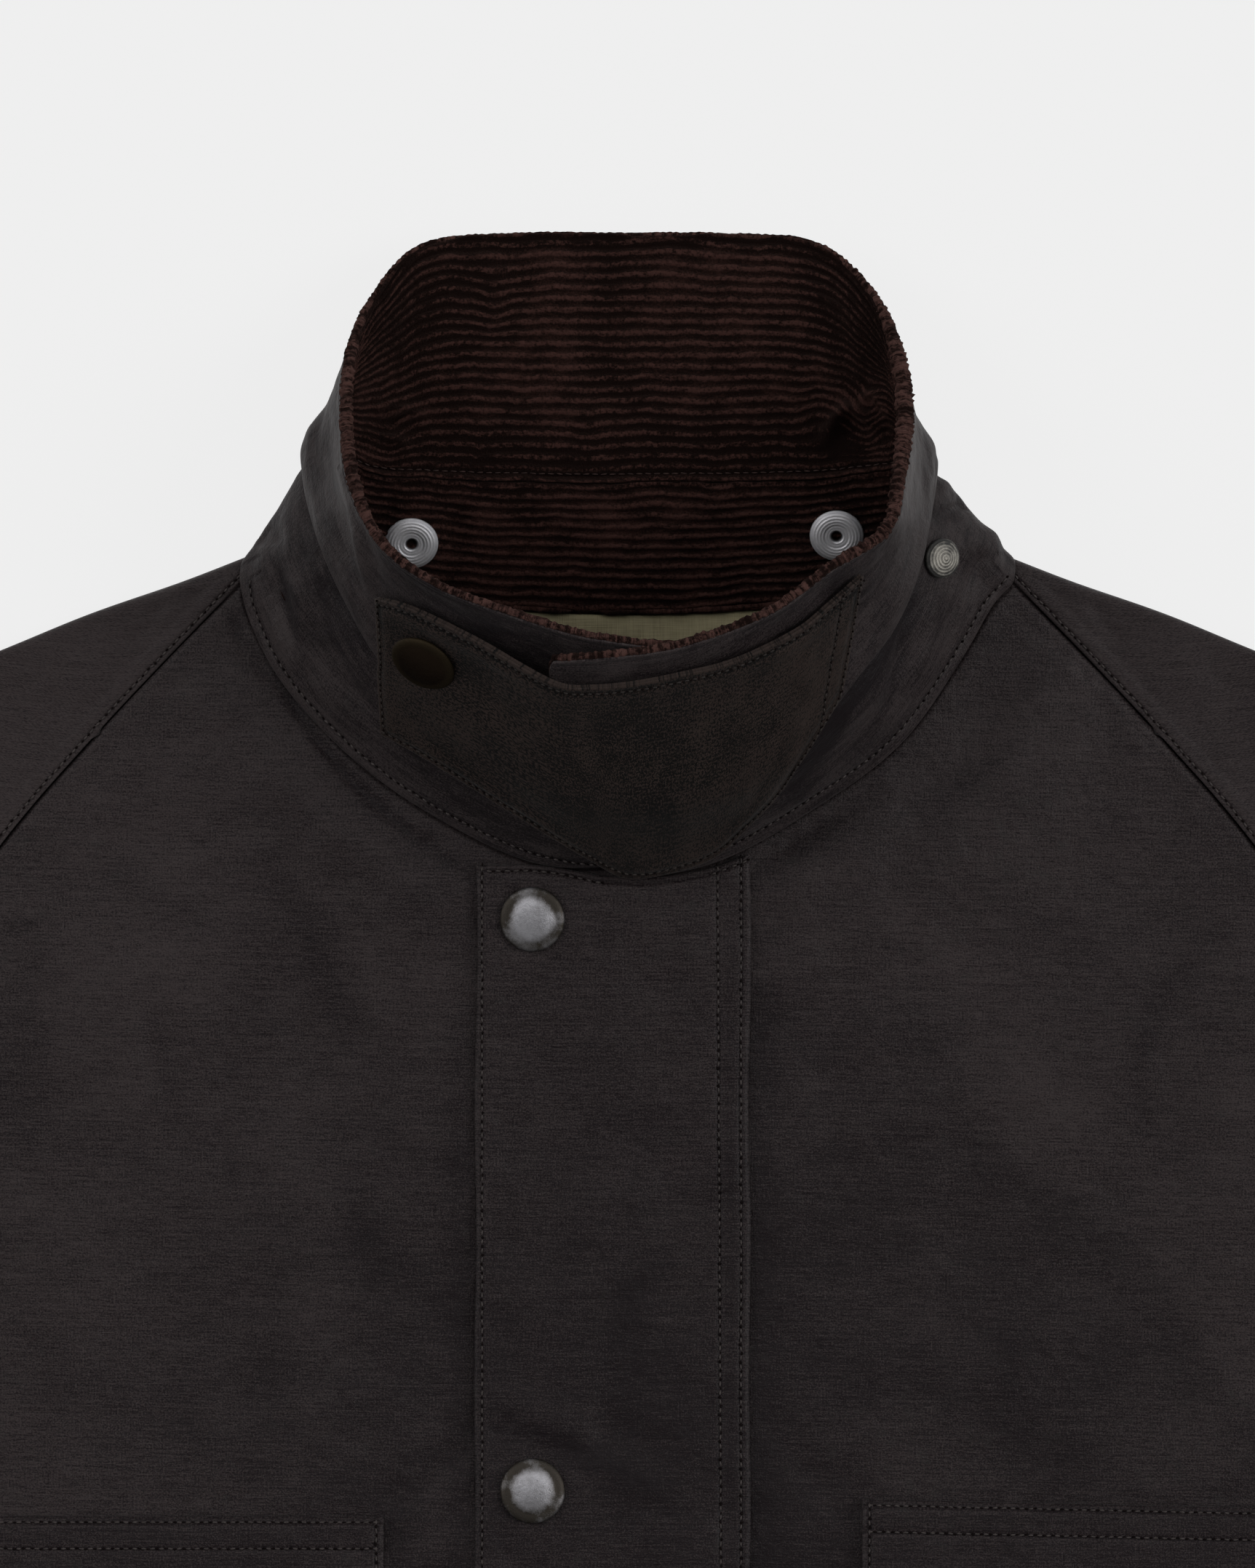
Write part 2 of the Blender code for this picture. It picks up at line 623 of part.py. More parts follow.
def make_hardware():
    step = SNAP_RADIUS / 2
    for index in range(SNAP_COUNT):
        y = SNAP_FIRST_Y - index * SNAP_PITCH
        slope_x = (fly_top(SNAP_X + step, y) - fly_top(SNAP_X - step, y)) / (2 * step)
        slope_y = (fly_top(SNAP_X, y + step) - fly_top(SNAP_X, y - step)) / (2 * step)
        normal = Vector((-slope_x, -slope_y, 1.0)).normalized()
        seat = place(SNAP_X, y, fly_top(SNAP_X, y)) + normal * 1.5 * CLEAR * MM
        turned(f"fly_snap_{index + 1}", SNAP_PROFILE, PEWTER, seat, normal)

    share, column = TAB_SNAP["share"], TAB_SNAP["column"]
    across = tab_point(share, column + 0.3)[0] - tab_point(share, column - 0.3)[0]
    up = tab_point(share + 0.15, column)[0] - tab_point(share - 0.15, column)[0]
    normal = across.cross(up).normalized()
    point = tab_point(share, column)[0] + normal * (TAB_WALL + TAB_SNAP_SEAT)
    turned("tab_snap", SNAP_PROFILE, BRONZE, place(*point), normal)

    for row in EYELETS:
        inside = HALF_BOND + CORD_WALL + CLEAR
        point, normal = collar_lifted(row["row"], row["rise"], -inside)
        turned(f"hood_eyelet_{row['name']}", EYELET_PROFILE, CHROME, place(*point), -normal)
        outside = HALF_BOND + WALL + CLEAR
        point, normal = collar_lifted(row["row"], row["rise"], outside)
        turned(f"hood_stud_{row['name']}", STUD_PROFILE, CHROME, place(*point), normal)
    outside = HALF_BOND + WALL + 1.5 * CLEAR
    point, normal = collar_lifted(SIDE_STUD["row"], SIDE_STUD["rise"], outside)
    turned("hood_stud_side", STUD_PROFILE, CHROME, place(*point), normal)


# ---------------------------------------------------------------- build

for old in list(bpy.data.objects):
    bpy.data.objects.remove(old, do_unlink=True)
JACKET = bpy.data.collections.new("waxed_cotton_jacket")
bpy.context.scene.collection.children.link(JACKET)

WAXED = material("waxed_cotton", (0.021, 0.018, 0.018), 0.55)
TAB_CLOTH = material("tab_cotton", (0.014, 0.011, 0.010), 0.6)
CORDUROY = material("corduroy", (0.012, 0.006, 0.005), 0.95)
LINING = material("lining_cotton", (0.06, 0.05, 0.033), 0.85)
PEWTER = material("pewter_snap", (0.3, 0.3, 0.31), 0.4, 1.0)
BRONZE = material("antique_bronze", (0.05, 0.035, 0.025), 0.5, 1.0)
CHROME = material("brushed_steel", (0.4, 0.4, 0.4), 0.35, 1.0)

SLEEVE_ROWS = [named(SLEEVE_COLUMNS, row) for row in SLEEVE]

make_back()
make_lining()
for each_side in (-1, 1):
    make_front(each_side)
    make_sleeve(each_side)
for each_pocket in POCKETS:
    make_pocket(each_pocket)
make_fly()
make_collar()
make_tab()
make_hardware()
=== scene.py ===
# %% [markdown]
# # A waxed cotton jacket, laid flat on its back
# This lesson dresses a plain CAD model of a jacket: thin creased shells of waxed cotton, real
# corduroy wales inside the collar, sewn edges with their stitches, and worn metal snaps.
# Every length is in millimetres until `metres` turns it into the frame's metres. x runs across
# the jacket, y up it from a datum at the throat, and z up from the floor that it lies on.

# %% Load the packed model as the frame
import math

import bmesh
import bpy
import numpy as np
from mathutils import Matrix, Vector
from mathutils.bvhtree import BVHTree


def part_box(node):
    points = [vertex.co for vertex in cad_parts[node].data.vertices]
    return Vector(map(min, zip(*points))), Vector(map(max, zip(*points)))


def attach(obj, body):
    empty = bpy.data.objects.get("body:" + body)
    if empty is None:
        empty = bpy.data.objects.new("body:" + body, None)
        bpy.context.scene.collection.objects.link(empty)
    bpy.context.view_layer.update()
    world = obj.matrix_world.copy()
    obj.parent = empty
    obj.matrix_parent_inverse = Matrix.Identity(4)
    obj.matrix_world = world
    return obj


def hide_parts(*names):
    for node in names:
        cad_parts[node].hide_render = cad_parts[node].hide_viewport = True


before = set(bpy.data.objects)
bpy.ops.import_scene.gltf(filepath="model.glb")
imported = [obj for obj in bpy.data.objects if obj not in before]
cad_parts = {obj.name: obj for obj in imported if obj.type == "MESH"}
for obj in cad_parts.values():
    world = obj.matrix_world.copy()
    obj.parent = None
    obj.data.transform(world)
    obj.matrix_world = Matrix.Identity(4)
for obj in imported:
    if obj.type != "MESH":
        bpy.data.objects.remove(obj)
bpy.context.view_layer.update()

# %% [markdown]
# ## The pattern's sizes
# The CAD model was worked out from these sizes and tables, so repeating them puts each visible
# cloth on its own solid without any fitting. A sleeve has a row for each section along it, the
# collar one for each section around the neck, and the tab one for each section along it.

# %% Sizes that the CAD shares
MM = 0.001
DATUM_Y = 220.985
WALL, CORD_WALL, FLY_WALL, TAB_WALL, LINING_WALL = 1.2, 1.5, 1.8, 2.0, 1.0
SEAM_GAP = CLEAR = 0.3
STACK, CROWN, CROWN_REACH, NECK_REACH = 3.0, 2.6, 28.0, 45.0
HEM_Y, HEM_HALF = -580.0, 281.0
FLY_TOP = (
    (-37.3, -20.3), (-20, -20.5), (0, -24.2), (15, -22.8), (30.1, -17.5),
)
LINING_DEPTH, LINING_TAPER = 30.0, 0.9
POCKET_OUTER, POCKET_LENGTH, POCKET_CROWN = 240.0, 215.0, 1.6
FLAP_DEPTH, FLAP_OVERHANG, FLAP_STEP = 65.0, 3.0, 2.4
POCKETS = (
    {"name": "left", "side": -1, "inner": 60.6, "inner_y": -181.3, "outer_y": -181.3},
    {"name": "right", "side": 1, "inner": 58.3, "inner_y": -177.1, "outer_y": -181.1},
)
# Columns: over_x, over_y, front_x, front_y, back_x, back_y
SLEEVE = (
    (94.6, 56.2, 95.2, 50.2, 72, 48.6), (110.6, 50, 101, 44.2, 90, 33),
    (133, 42.2, 115, 29.8, 112, 7), (155, 33.2, 133, 10.5, 138, -25),
    (190, 19, 155.5, -15.8, 166, -65), (235, -0.5, 192, -66, 200, -112),
    (285, -27, 232, -135, 236, -168), (322, -52, 262, -198, 264, -215),
    (352, -76, 285, -250, 285, -250), (430, -137, 345, -300, 345, -300),
    (510, -211, 408, -356, 408, -356), (585, -300, 472, -416, 472, -416),
    (645, -398, 528, -475, 528, -475),
)
UNDERARM_ROW = 8
# Columns: x, y and z of the neck seam, then of the fold, then of the free edge
COLLAR = (
    (16, -17.2, 10.4, 16, 8.2, 37, 15, 34, 67), (0, -20, 10.4, 0, 5, 37, 0, 35.5, 72),
    (-22, -19.5, 10.8, -17.5, 8.5, 36.5, -14, 38, 72),
    (-45, -9.2, 10.3, -38, 17.5, 36, -30, 43, 70), (-66, 5, 9.3, -56, 30.5, 33.5, -47, 49.5, 68),
    (-83, 22.3, 8.2, -66, 46.5, 31.5, -60.5, 59.6, 64),
    (-92, 37.5, 7, -72.6, 61.5, 30, -67.6, 75, 57),
    (-95.2, 50.2, 5.9, -76.2, 76, 27, -69.5, 91.5, 44),
    (-90.5, 54.6, 3.6, -75, 84, 24, -68.2, 107, 31.5),
    (-72, 49, 1.8, -64, 78, 17, -62.2, 121.5, 19),
    (-48, 43.7, 1.6, -47.5, 76.2, 13.5, -50, 134, 12),
    (-23, 41.1, 1.6, -23, 75.5, 10.5, -26, 136.6, 9.5), (0, 40.3, 1.6, 0, 75.3, 9, -2, 136.6, 8.5),
    (23, 41.1, 1.6, 23, 75.5, 10.5, 23, 136.5, 9.5),
    (48, 43.7, 1.6, 45.5, 76.2, 13.5, 46, 134.2, 12), (72, 49, 1.8, 62, 78, 17, 60.3, 121.5, 19),
    (92, 55.2, 3.6, 71, 80, 22, 66.8, 105.5, 31),
    (95.2, 50.2, 5.9, 72.3, 77, 26.5, 68.6, 90.5, 44),
    (89.8, 43.8, 7.2, 70.8, 65, 29, 66.8, 75, 57), (81, 29, 8.6, 67, 49.5, 32, 63.4, 62.5, 65),
    (67, 10.2, 9.8, 57.5, 29, 35.5, 49.8, 53.5, 70),
    (47, -4.7, 10.7, 42, 11.5, 38.5, 35.2, 43, 72.5), (23, -18.2, 11, 19.5, 0, 39, 15, 35.3, 74),
    (0, -23, 11, 0, -3, 38.5, 0, 32.6, 74), (-20, -23, 11, -19, -1, 38.5, -20, 31, 73.5),
)
NECK_MIDDLE = (0, -22, 11)
LEFT_END, RIGHT_END = (1.125, -0.5625), (22.9, 0.55)
STAND_HEIGHT, HALF_BOND = 38.0, 0.15
ROLL, ROLL_AT, ROLL_REACH = 3.0, 1.1, 0.26
# Columns: low_x, low_y, top_x, top_y, lift over the collar, collar row near it
TAB = (
    (-61, 12.2, -62.4, 45, 2.2, 4.5), (-50.7, 6.5, -53.5, 42.5, 2.1, 4),
    (-34.7, -3.4, -37, 34.5, 3.2, 3), (-15.4, -15.3, -18, 24.2, 2.5, 24),
    (-7, -20.4, -8.6, 23.1, 2.5, 23.4), (0.5, -23.6, 1.7, 24, 2.6, 23),
    (10.5, -22.3, 13, 26.2, 2.7, 22.5), (21, -18.7, 23.5, 28.6, 3, 22),
    (28.5, -12.3, 33, 32.4, 3, 21.5), (37.2, -3.1, 43.2, 37.8, 2.9, 21),
    (43.9, 6.8, 50, 43.4, 2.4, 20.6), (53.4, 22, 58, 50.5, 1.8, 20),
)
print(f"{len(SLEEVE)} sleeve sections, {len(COLLAR)} collar sections, {len(TAB)} tab sections")

# %% [markdown]
# ## Reading smooth lines out of short tables
# Cloth has no corners where a table has rows, so a table is read along a Catmull-Rom curve,
# which passes through every row. Working on whole arrays with numpy keeps a mesh of tens of
# thousands of points quick.

# %% Curves through tables
def smooth_row(table, at):
    """Every column of a table at a place between its rows, along a Catmull-Rom curve."""
    table, at = np.asarray(table, float), np.asarray(at, float)
    last = len(table) - 1
    row = np.clip(np.floor(at).astype(int), 0, last - 1)
    f = (at - row)[..., None]
    a, b, c, d = (table[np.clip(row + step, 0, last)] for step in (-1, 0, 1, 2))
    return b + 0.5 * f * (c - a + f * (2 * a - 5 * b + 4 * c - d + f * (3 * (b - c) + d - a)))


def smooth_line(points, steps=8):
    """A finer line through a few points."""
    return smooth_row(points, np.linspace(0, len(points) - 1, steps * (len(points) - 1) + 1))


def lerp(a, b, share):
    return a + (b - a) * share


def capped(value):
    return np.clip(value, 0, 1)


def bell(gap, width, power=2):
    """1 at no gap, falling off smoothly over the width."""
    return np.exp(-((gap / width) ** power))


def unit(vectors):
    return vectors / np.maximum(np.linalg.norm(vectors, axis=-1, keepdims=True), 1e-9)


def metres(points):
    """Points in millimetres from the datum, in metres in the frame."""
    return (np.asarray(points, float) + (0.0, DATUM_Y, 0.0)) * MM


def run_along(points, axis=0):
    """The length of a line, or of each line of a grid, up to each of its points."""
    steps = np.diff(points, axis=axis, prepend=np.take(points, [0], axis))
    return np.cumsum(np.linalg.norm(steps, axis=-1), axis)


def near_line(x, y, line):
    """For each point: its distance to a line, how far along that is, and the line's third
    column there."""
    line = np.asarray(line, float)
    gap = np.full(np.shape(x), np.inf)
    along, third = np.zeros(np.shape(x)), np.zeros(np.shape(x))
    done = 0.0
    for a, b in zip(line[:-1], line[1:]):
        run_x, run_y = b[:2] - a[:2]
        size = max(math.hypot(run_x, run_y), 1e-9)
        share = capped(((x - a[0]) * run_x + (y - a[1]) * run_y) / size**2)
        here = np.hypot(x - a[0] - share * run_x, y - a[1] - share * run_y)
        closer = here < gap
        gap = np.where(closer, here, gap)
        along = np.where(closer, done + share * size, along)
        third = np.where(closer, lerp(a[-1], b[-1], share), third)
        done += size
    return gap, along, third


print("the tab half way along its table:", smooth_row(TAB, 5.5).round(1))

# %% The height of the jacket's upper layer over the floor
def raglan_line(column):
    """The sleeve's seam from the neck to the underarm, in two columns of its table."""
    return smooth_line([row[column : column + 2] for row in SLEEVE[: UNDERARM_ROW + 1]])


RAGLAN = raglan_line(2)
OVERARM = smooth_line([row[:2] for row in SLEEVE])
UNDERARM = smooth_line([row[2:4] for row in SLEEVE[UNDERARM_ROW:]])
UNDER_EDGE = np.vstack([UNDERARM[::-1], [(HEM_HALF, HEM_Y)]])
neck_rows = [*range(8, 1, -1), None, *range(22, 15, -1)]
NECK_LINE = smooth_line([NECK_MIDDLE if row is None else COLLAR[row][:3] for row in neck_rows])


def height(x, y):
    """The outer height of the upper layer, which rises to the collar around the neck seam."""
    gap = np.minimum(*(near_line(np.abs(x), y, edge)[0] for edge in (OVERARM, UNDER_EDGE)))
    flat = STACK + CROWN * (1 - bell(gap, CROWN_REACH))
    neck_gap, _, seam = near_line(x, y, NECK_LINE)
    return lerp(flat, seam, bell(neck_gap, NECK_REACH))


print("height at the chest in mm:", round(float(height(np.array(100.0), np.array(-120.0))), 2))

# %% [markdown]
# ## Creases
# Stiff waxed cotton keeps long soft troughs and short pinches where it was last folded. Each is
# a line through three points with a width and a rise (a trough's rise is negative), fading out
# towards its ends. The tables keep them as uneven as cloth is. Tables of tones work in the same
# way on the colour: they paint shade in troughs, under folds and beside raised edges, highlights
# on the folds, and broad lighter and darker patches. `wander` adds a slow drift.

# %% Creases and drift
def creased(x, y, table):
    """The sum of a table's creases, each in the columns x0, y0, x1, y1, x2, y2, width, rise."""
    total = np.zeros(np.shape(x))
    for x0, y0, x1, y1, x2, y2, width, rise in table:
        line = smooth_line([(x0, y0), (x1, y1), (x2, y2)], 5)
        gap, along, _ = near_line(x, y, line)
        fade = np.sin(np.pi * capped(along / run_along(line)[-1])) ** 0.8
        total += rise * fade * bell(gap, width)
    return total


def wander(u, v, size, seed, waves=7):
    """A smooth random drift between about -1 and 1, with hills of the given size."""
    draw = np.random.default_rng(seed)
    total = np.zeros(np.broadcast(u, v).shape)
    for _ in range(waves):
        turn, phase = draw.uniform(0, 2 * np.pi, 2)
        pitch = 2 * np.pi / (size * draw.uniform(0.7, 1.9))
        total += np.sin((u * math.cos(turn) + v * math.sin(turn)) * pitch + phase)
    return total / waves**0.5


print("a drift at four places:", wander(np.arange(4.0), 0.0, 5, 1).round(2))

# %% [markdown]
# ## One way to make every cloth
# A cloth is a grid of points on its outer face. `shell` adds the inner face and a rounded edge
# between the two, so each piece is closed like real cloth. Its UV map holds millimetres along
# the thread, for the weave, and the attribute `stitch` holds the distance to the nearest row of
# stitches, so that the finish can sink the cloth along it and paint shade in the groove. The
# attribute `tone` moves the colour lighter and darker: broad patches, and painted light and shade.

# %% Turn a grid of points into a closed shell
ROUNDED = ((0.5, 0.3),)
FAR = 9.0


def grid_quads(index, ring=False):
    """Quads between a grid's point numbers, closed sideways where the grid is a ring."""
    if ring:
        index = np.hstack([index, index[:, :1]])
    corners = index[:-1, :-1], index[:-1, 1:], index[1:, 1:], index[1:, :-1]
    return np.stack(corners, -1).reshape(-1, 4)


def grid_normals(points, wrap_from=None):
    normal = unit(np.cross(np.gradient(points, axis=1), np.gradient(points, axis=0)))
    if wrap_from is not None:
        joined = unit(normal[wrap_from:, 0] + normal[wrap_from:, -1])
        normal[wrap_from:, 0] = normal[wrap_from:, -1] = joined
    return normal


def shell(points, wall, lips, wrap_from=None):
    """Vertices, quads and, for each vertex, the grid point that it belongs to. `lips` are the
    rings of the edge, each by its depth and its bulge. Rows past `wrap_from` form a tube."""
    rows, columns, _ = points.shape
    index = np.arange(rows * columns).reshape(rows, columns)
    outer, normal = points.reshape(-1, 3), grid_normals(points, wrap_from).reshape(-1, 3)
    ring = np.concatenate([index[0, :-1], index[:-1, -1], index[-1, :0:-1], index[:0:-1, 0]])
    following = np.roll(ring, -1)
    out = unit(np.cross(outer[following] - outer[np.roll(ring, 1)], normal[ring]))
    verts, owner, loops = [outer], [index.ravel()], [ring]
    for depth, bulge in lips:
        loops.append(index.size + (len(loops) - 1) * len(ring) + np.arange(len(ring)))
        verts.append(outer[ring] + (out * bulge - normal[ring] * depth) * wall)
        owner.append(ring)
    inner_start = index.size + len(lips) * len(ring)
    loops.append(ring + inner_start)
    verts.append(outer - normal * wall)
    owner.append(index.ravel())
    kept = np.ones(len(ring), bool)
    if wrap_from is not None:
        on_side = ring % columns == following % columns
        kept = ~(on_side & (ring // columns >= wrap_from) & (following // columns >= wrap_from))
    quads = grid_quads(index)
    faces = [quads, quads[:, ::-1] + inner_start]
    for near, far in zip(loops, loops[1:]):
        band = np.stack([np.roll(near, -1), near, far, np.roll(far, -1)], -1)
        faces.append(band[kept])
    return np.vstack(verts), np.vstack(faces), np.concatenate(owner)


print("quads in a grid of 3 by 4 points:", len(grid_quads(np.arange(12).reshape(3, 4))))

# %% Make a piece and put it on the jacket
def placed(name, data):
    """A new object at the origin."""
    made = bpy.data.objects.new(name, data)
    bpy.context.scene.collection.objects.link(made)
    return made


def mesh_piece(name, points, quads, finish, values, uv=None, mend=None):
    """A smooth piece from points in millimetres, with a value at each point for each attribute."""
    mesh = bpy.data.meshes.new(name)
    mesh.from_pydata(metres(points), [], quads)
    if uv is not None:
        layer = mesh.uv_layers.new(name="thread")
        layer.data.foreach_set("uv", uv[quads.ravel()].astype(np.float32).ravel())
    for label, value in values.items():
        made = mesh.attributes.new(label, "FLOAT", "POINT")
        made.data.foreach_set("value", value.astype(np.float32))
    if mend:
        bm = bmesh.new()
        bm.from_mesh(mesh)
        mend(bm)
        bm.to_mesh(mesh)
        bm.free()
    mesh.shade_smooth()
    mesh.materials.append(finish)
    return placed(name, mesh)


def keep(piece, slot, *nodes):
    """Puts a finished piece on the jacket's one body, in place of its CAD nodes."""
    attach(piece, "root")
    if nodes:
        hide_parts(*nodes)


def outer_area(points):
    """The area of a grid's face in square metres."""
    across, up = np.diff(points, axis=1)[:-1], np.diff(points, axis=0)[:, :-1]
    return float(np.linalg.norm(np.cross(across, up), axis=-1).sum()) * MM * MM


SURFACES = {}


def lay_sheet(name, node, finish, wall, grids, cut, lips=ROUNDED, wrap_from=None):
    """A closed sheet of cloth in place of its CAD node. The grids hold its outer face, its UV
    map, the distance to its stitches and its tone. `cut` is the width and length it is cut to."""
    points, uv, stitch, tone = grids
    verts, quads, owner = shell(points, wall, lips, wrap_from)
    values = {"stitch": stitch.ravel()[owner], "tone": tone.ravel()[owner]}

    def weld(bm):
        bmesh.ops.remove_doubles(bm, verts=bm.verts, dist=0.01 * MM)

    mend = weld if wrap_from is not None else None
    piece = mesh_piece(name, verts, quads, finish, values, uv.reshape(-1, 2)[owner], mend)
    keep(piece, finish.name.split(".")[0], node)
    width, length = cut[0] * MM, cut[1] * MM
    area = min(outer_area(points), width * length)
    SURFACES[name] = points
    print(f"{name}: {sum(len(face.vertices) - 2 for face in piece.data.polygons)} triangles")


def facing_out(side, *grids):
    """The grids, run the other way across for side -1, so that their faces point outwards."""
    return [grid[:, ::-1] for grid in grids] if side < 0 else list(grids)


square = np.array([[(0, 0, 0), (100, 0, 0)], [(0, 100, 0), (100, 100, 0)]])
print("area of a 100 mm square:", round(outer_area(square), 4), "square metres")

# %% [markdown]
# ## Writing shaders as sums
# A finish is mostly arithmetic on patterns. `Value` wraps a socket so that Python's own
# operators add the Math nodes, and `Finish.node` makes any other node. Colours are mixed with
# Mix nodes, because a Math node would turn them grey.

# %% A small shader language
def math_node(operation, swapped=False):
    """An operator that works out a value and a number, or two values, in one Math node."""

    def act(value, other):
        pair = (other, value) if swapped else (value, other)
        return value.finish.maths(operation, *pair)

    return act


class Value:
    """A number, colour or vector that flows out of a node."""

    def __init__(self, finish, socket):
        self.finish, self.socket = finish, socket

    __add__ = __radd__ = math_node("ADD")
    __sub__, __rsub__ = math_node("SUBTRACT"), math_node("SUBTRACT", swapped=True)
    __mul__ = __rmul__ = math_node("MULTIPLY")
    __truediv__, __rtruediv__ = math_node("DIVIDE"), math_node("DIVIDE", swapped=True)
    __pow__, __rpow__ = math_node("POWER"), math_node("POWER", swapped=True)

    def __neg__(self):
        return self * -1.0

    def maths(self, operation):
        return self.finish.maths(operation, self)

    def hill(self, width):
        """1 at zero, falling off to both sides over the width."""
        return (-(self / width) ** 2.0).maths("EXPONENT")

    def clamped(self):
        return self.finish.node("ShaderNodeClamp", {}, {0: self})

    def between(self, low, high):
        """0 below low and 1 above high, smooth in between."""
        settings = {"interpolation_type": "SMOOTHSTEP"}
        return self.finish.node("ShaderNodeMapRange", settings, {0: self, 1: low, 2: high})


class Finish:
    """One material, built node by node."""

    def __init__(self, name):
        self.material = bpy.data.materials.new(name)
        self.material.use_nodes = True
        self.tree = self.material.node_tree
        self.shader = self.tree.nodes["Principled BSDF"]

    def node(self, kind, settings=None, inputs=None, output=0):
        made = self.tree.nodes.new(kind)
        for key, setting in (settings or {}).items():
            setattr(made, key, setting)
        for key, value in (inputs or {}).items():
            if isinstance(value, Value):
                self.tree.links.new(value.socket, made.inputs[key])
            else:
                made.inputs[key].default_value = value
        return Value(self, made.outputs[output])

    def maths(self, operation, *values):
        return self.node("ShaderNodeMath", {"operation": operation}, dict(enumerate(values)))

    def thread(self, across=1.0, along=1.0):
        """The cloth's own coordinates in millimetres, stretched by two factors."""
        uv = self.node("ShaderNodeUVMap", {"uv_map": "thread"})
        settings = {"operation": "MULTIPLY"}
        return self.node("ShaderNodeVectorMath", settings, {0: uv, 1: (across, along, 1.0)})

    def place(self, scale=1.0 / MM):
        """Object coordinates in millimetres."""
        here = self.node("ShaderNodeTexCoord", output="Object")
        return self.node("ShaderNodeVectorMath", {"operation": "SCALE"}, {0: here, "Scale": scale})

    def noise(self, where, scale, detail=2.0, roughness=0.5):
        inputs = {"Vector": where, "Scale": scale, "Detail": detail, "Roughness": roughness}
        return self.node("ShaderNodeTexNoise", {}, inputs)

    def attribute(self, name):
        return self.node("ShaderNodeAttribute", {"attribute_name": name}, output="Fac")

    def mix(self, share, first, second):
        """A colour between two, each a value or three numbers."""
        ends = [end if isinstance(end, Value) else (*end, 1.0) for end in (first, second)]
        inputs = {0: share, 6: ends[0], 7: ends[1]}
        return self.node("ShaderNodeMix", {"data_type": "RGBA"}, inputs, output=2)

    def bump(self, rise):
        """A bump from a height in millimetres."""
        return self.node("ShaderNodeBump", {}, {"Distance": MM, "Height": rise}, output="Normal")

    def finished(self, linked, fixed):
        """Links what varies and sets what doesn't."""
        for name, value in linked.items():
            self.tree.links.new(value.socket, self.shader.inputs[name])
        for name, value in fixed.items():
            self.shader.inputs[name].default_value = value
        return self.material


print("operators that also work from the right:", sum(name[:3] == "__r" for name in vars(Value)))

# %% [markdown]
# ## Waxed cotton
# Waxed cotton is a close plain weave filled with wax. It is nearly black, a little brown where
# there is less wax, and has a soft low gloss. Fine slubs, thicker runs of yarn, lie along the
# weft, and the wax gives broad tonal patches. The same two colours carry the painted light and
# shade of the attribute `tone`. The cloth sinks along each row of stitches, painted darker there
# as shade in the groove, and is rubbed paler on the folds beside it. Only colour, roughness and
# bump vary.

# %% The waxed finishes
OLIVE = (0.54, 0.65, 0.61)


def waxed(name, thin_wax_and_light, thick_wax_and_shade, blotch, streak, grain, gloss, roughness):
    """Cotton between the colours of scant and heavy wax, which also carry painted light and shade,
    with clouds, streaks and a fine grain.
    """
    f = Finish(name)
    ribs = f.noise(f.thread(0.05, 1.7), 1.0, 2.0, 0.5)
    slub = f.noise(f.thread(0.26, 2.5), 1.0, 2.0, 0.6)
    warp = f.noise(f.thread(2.6, 0.22), 1.0, 2.0, 0.6)
    weave = f.noise(f.thread(), 2.2, 1.0, 0.8)
    patch = f.noise(f.thread(), 0.016, 4.0, 0.55)
    cloud = f.noise(f.thread(), 0.12, 3.0, 0.6)
    crumple = f.noise(f.thread(), 0.13, 3.0, 0.6)
    green = f.noise(f.thread(), 0.21, 3.0, 0.6)
    row = f.attribute("stitch").hill(0.5)
    rubbed = f.attribute("stitch").hill(1.5) - row
    yarn = slub * 0.8 + ribs * 0.6 + warp * 0.5 - 0.95
    tone = (patch - 0.5) * 1.3 + (cloud - 0.5) * blotch + yarn * streak + (weave - 0.5) * grain
    # The attribute `tone` brings painted light and shade, and each stitch row's groove is painted
    # darker as shade, with the cloth rubbed paler beside it.
    tone = tone + f.attribute("tone") + 0.5 + rubbed * 0.25 - row * 0.4
    colour = f.mix(tone.between(-0.8, 1.8), thick_wax_and_shade, thin_wax_and_light)
    olive = ((green - 0.5) * 2.0 + patch - 0.5).between(0.1, 0.9)
    colour = f.mix(olive * 0.6, colour, [part * share for part, share in zip(thin_wax_and_light, OLIVE)])
    rise = slub * 0.12 + warp * 0.08 + weave * 0.12 + crumple * 0.8 - row * 0.3
    shine = roughness + (cloud - 0.5) * 0.2 + (slub - 0.5) * 0.1 + row * 0.1
    linked = {"Base Color": colour, "Roughness": shine, "Normal": f.bump(rise)}
    fixed = {"Specular IOR Level": gloss, "Sheen Weight": 0.04, "Sheen Roughness": 0.5}
    return f.finished(linked, fixed)


WAXED = waxed("waxed_cotton", (0.0276, 0.0209, 0.0208), (0.0025, 0.0005, 0.0012),
              blotch=0.3, streak=3.0, grain=5.0, gloss=0.14, roughness=0.50)
TAB_WAXED = waxed("tab_cotton", (0.0222, 0.0148, 0.0124), (0.0006, 0.0003, 0.0002),
                  blotch=3.0, streak=3.2, grain=10.0, gloss=0.09, roughness=0.56)
print("waxed finishes:", WAXED.name, TAB_WAXED.name)
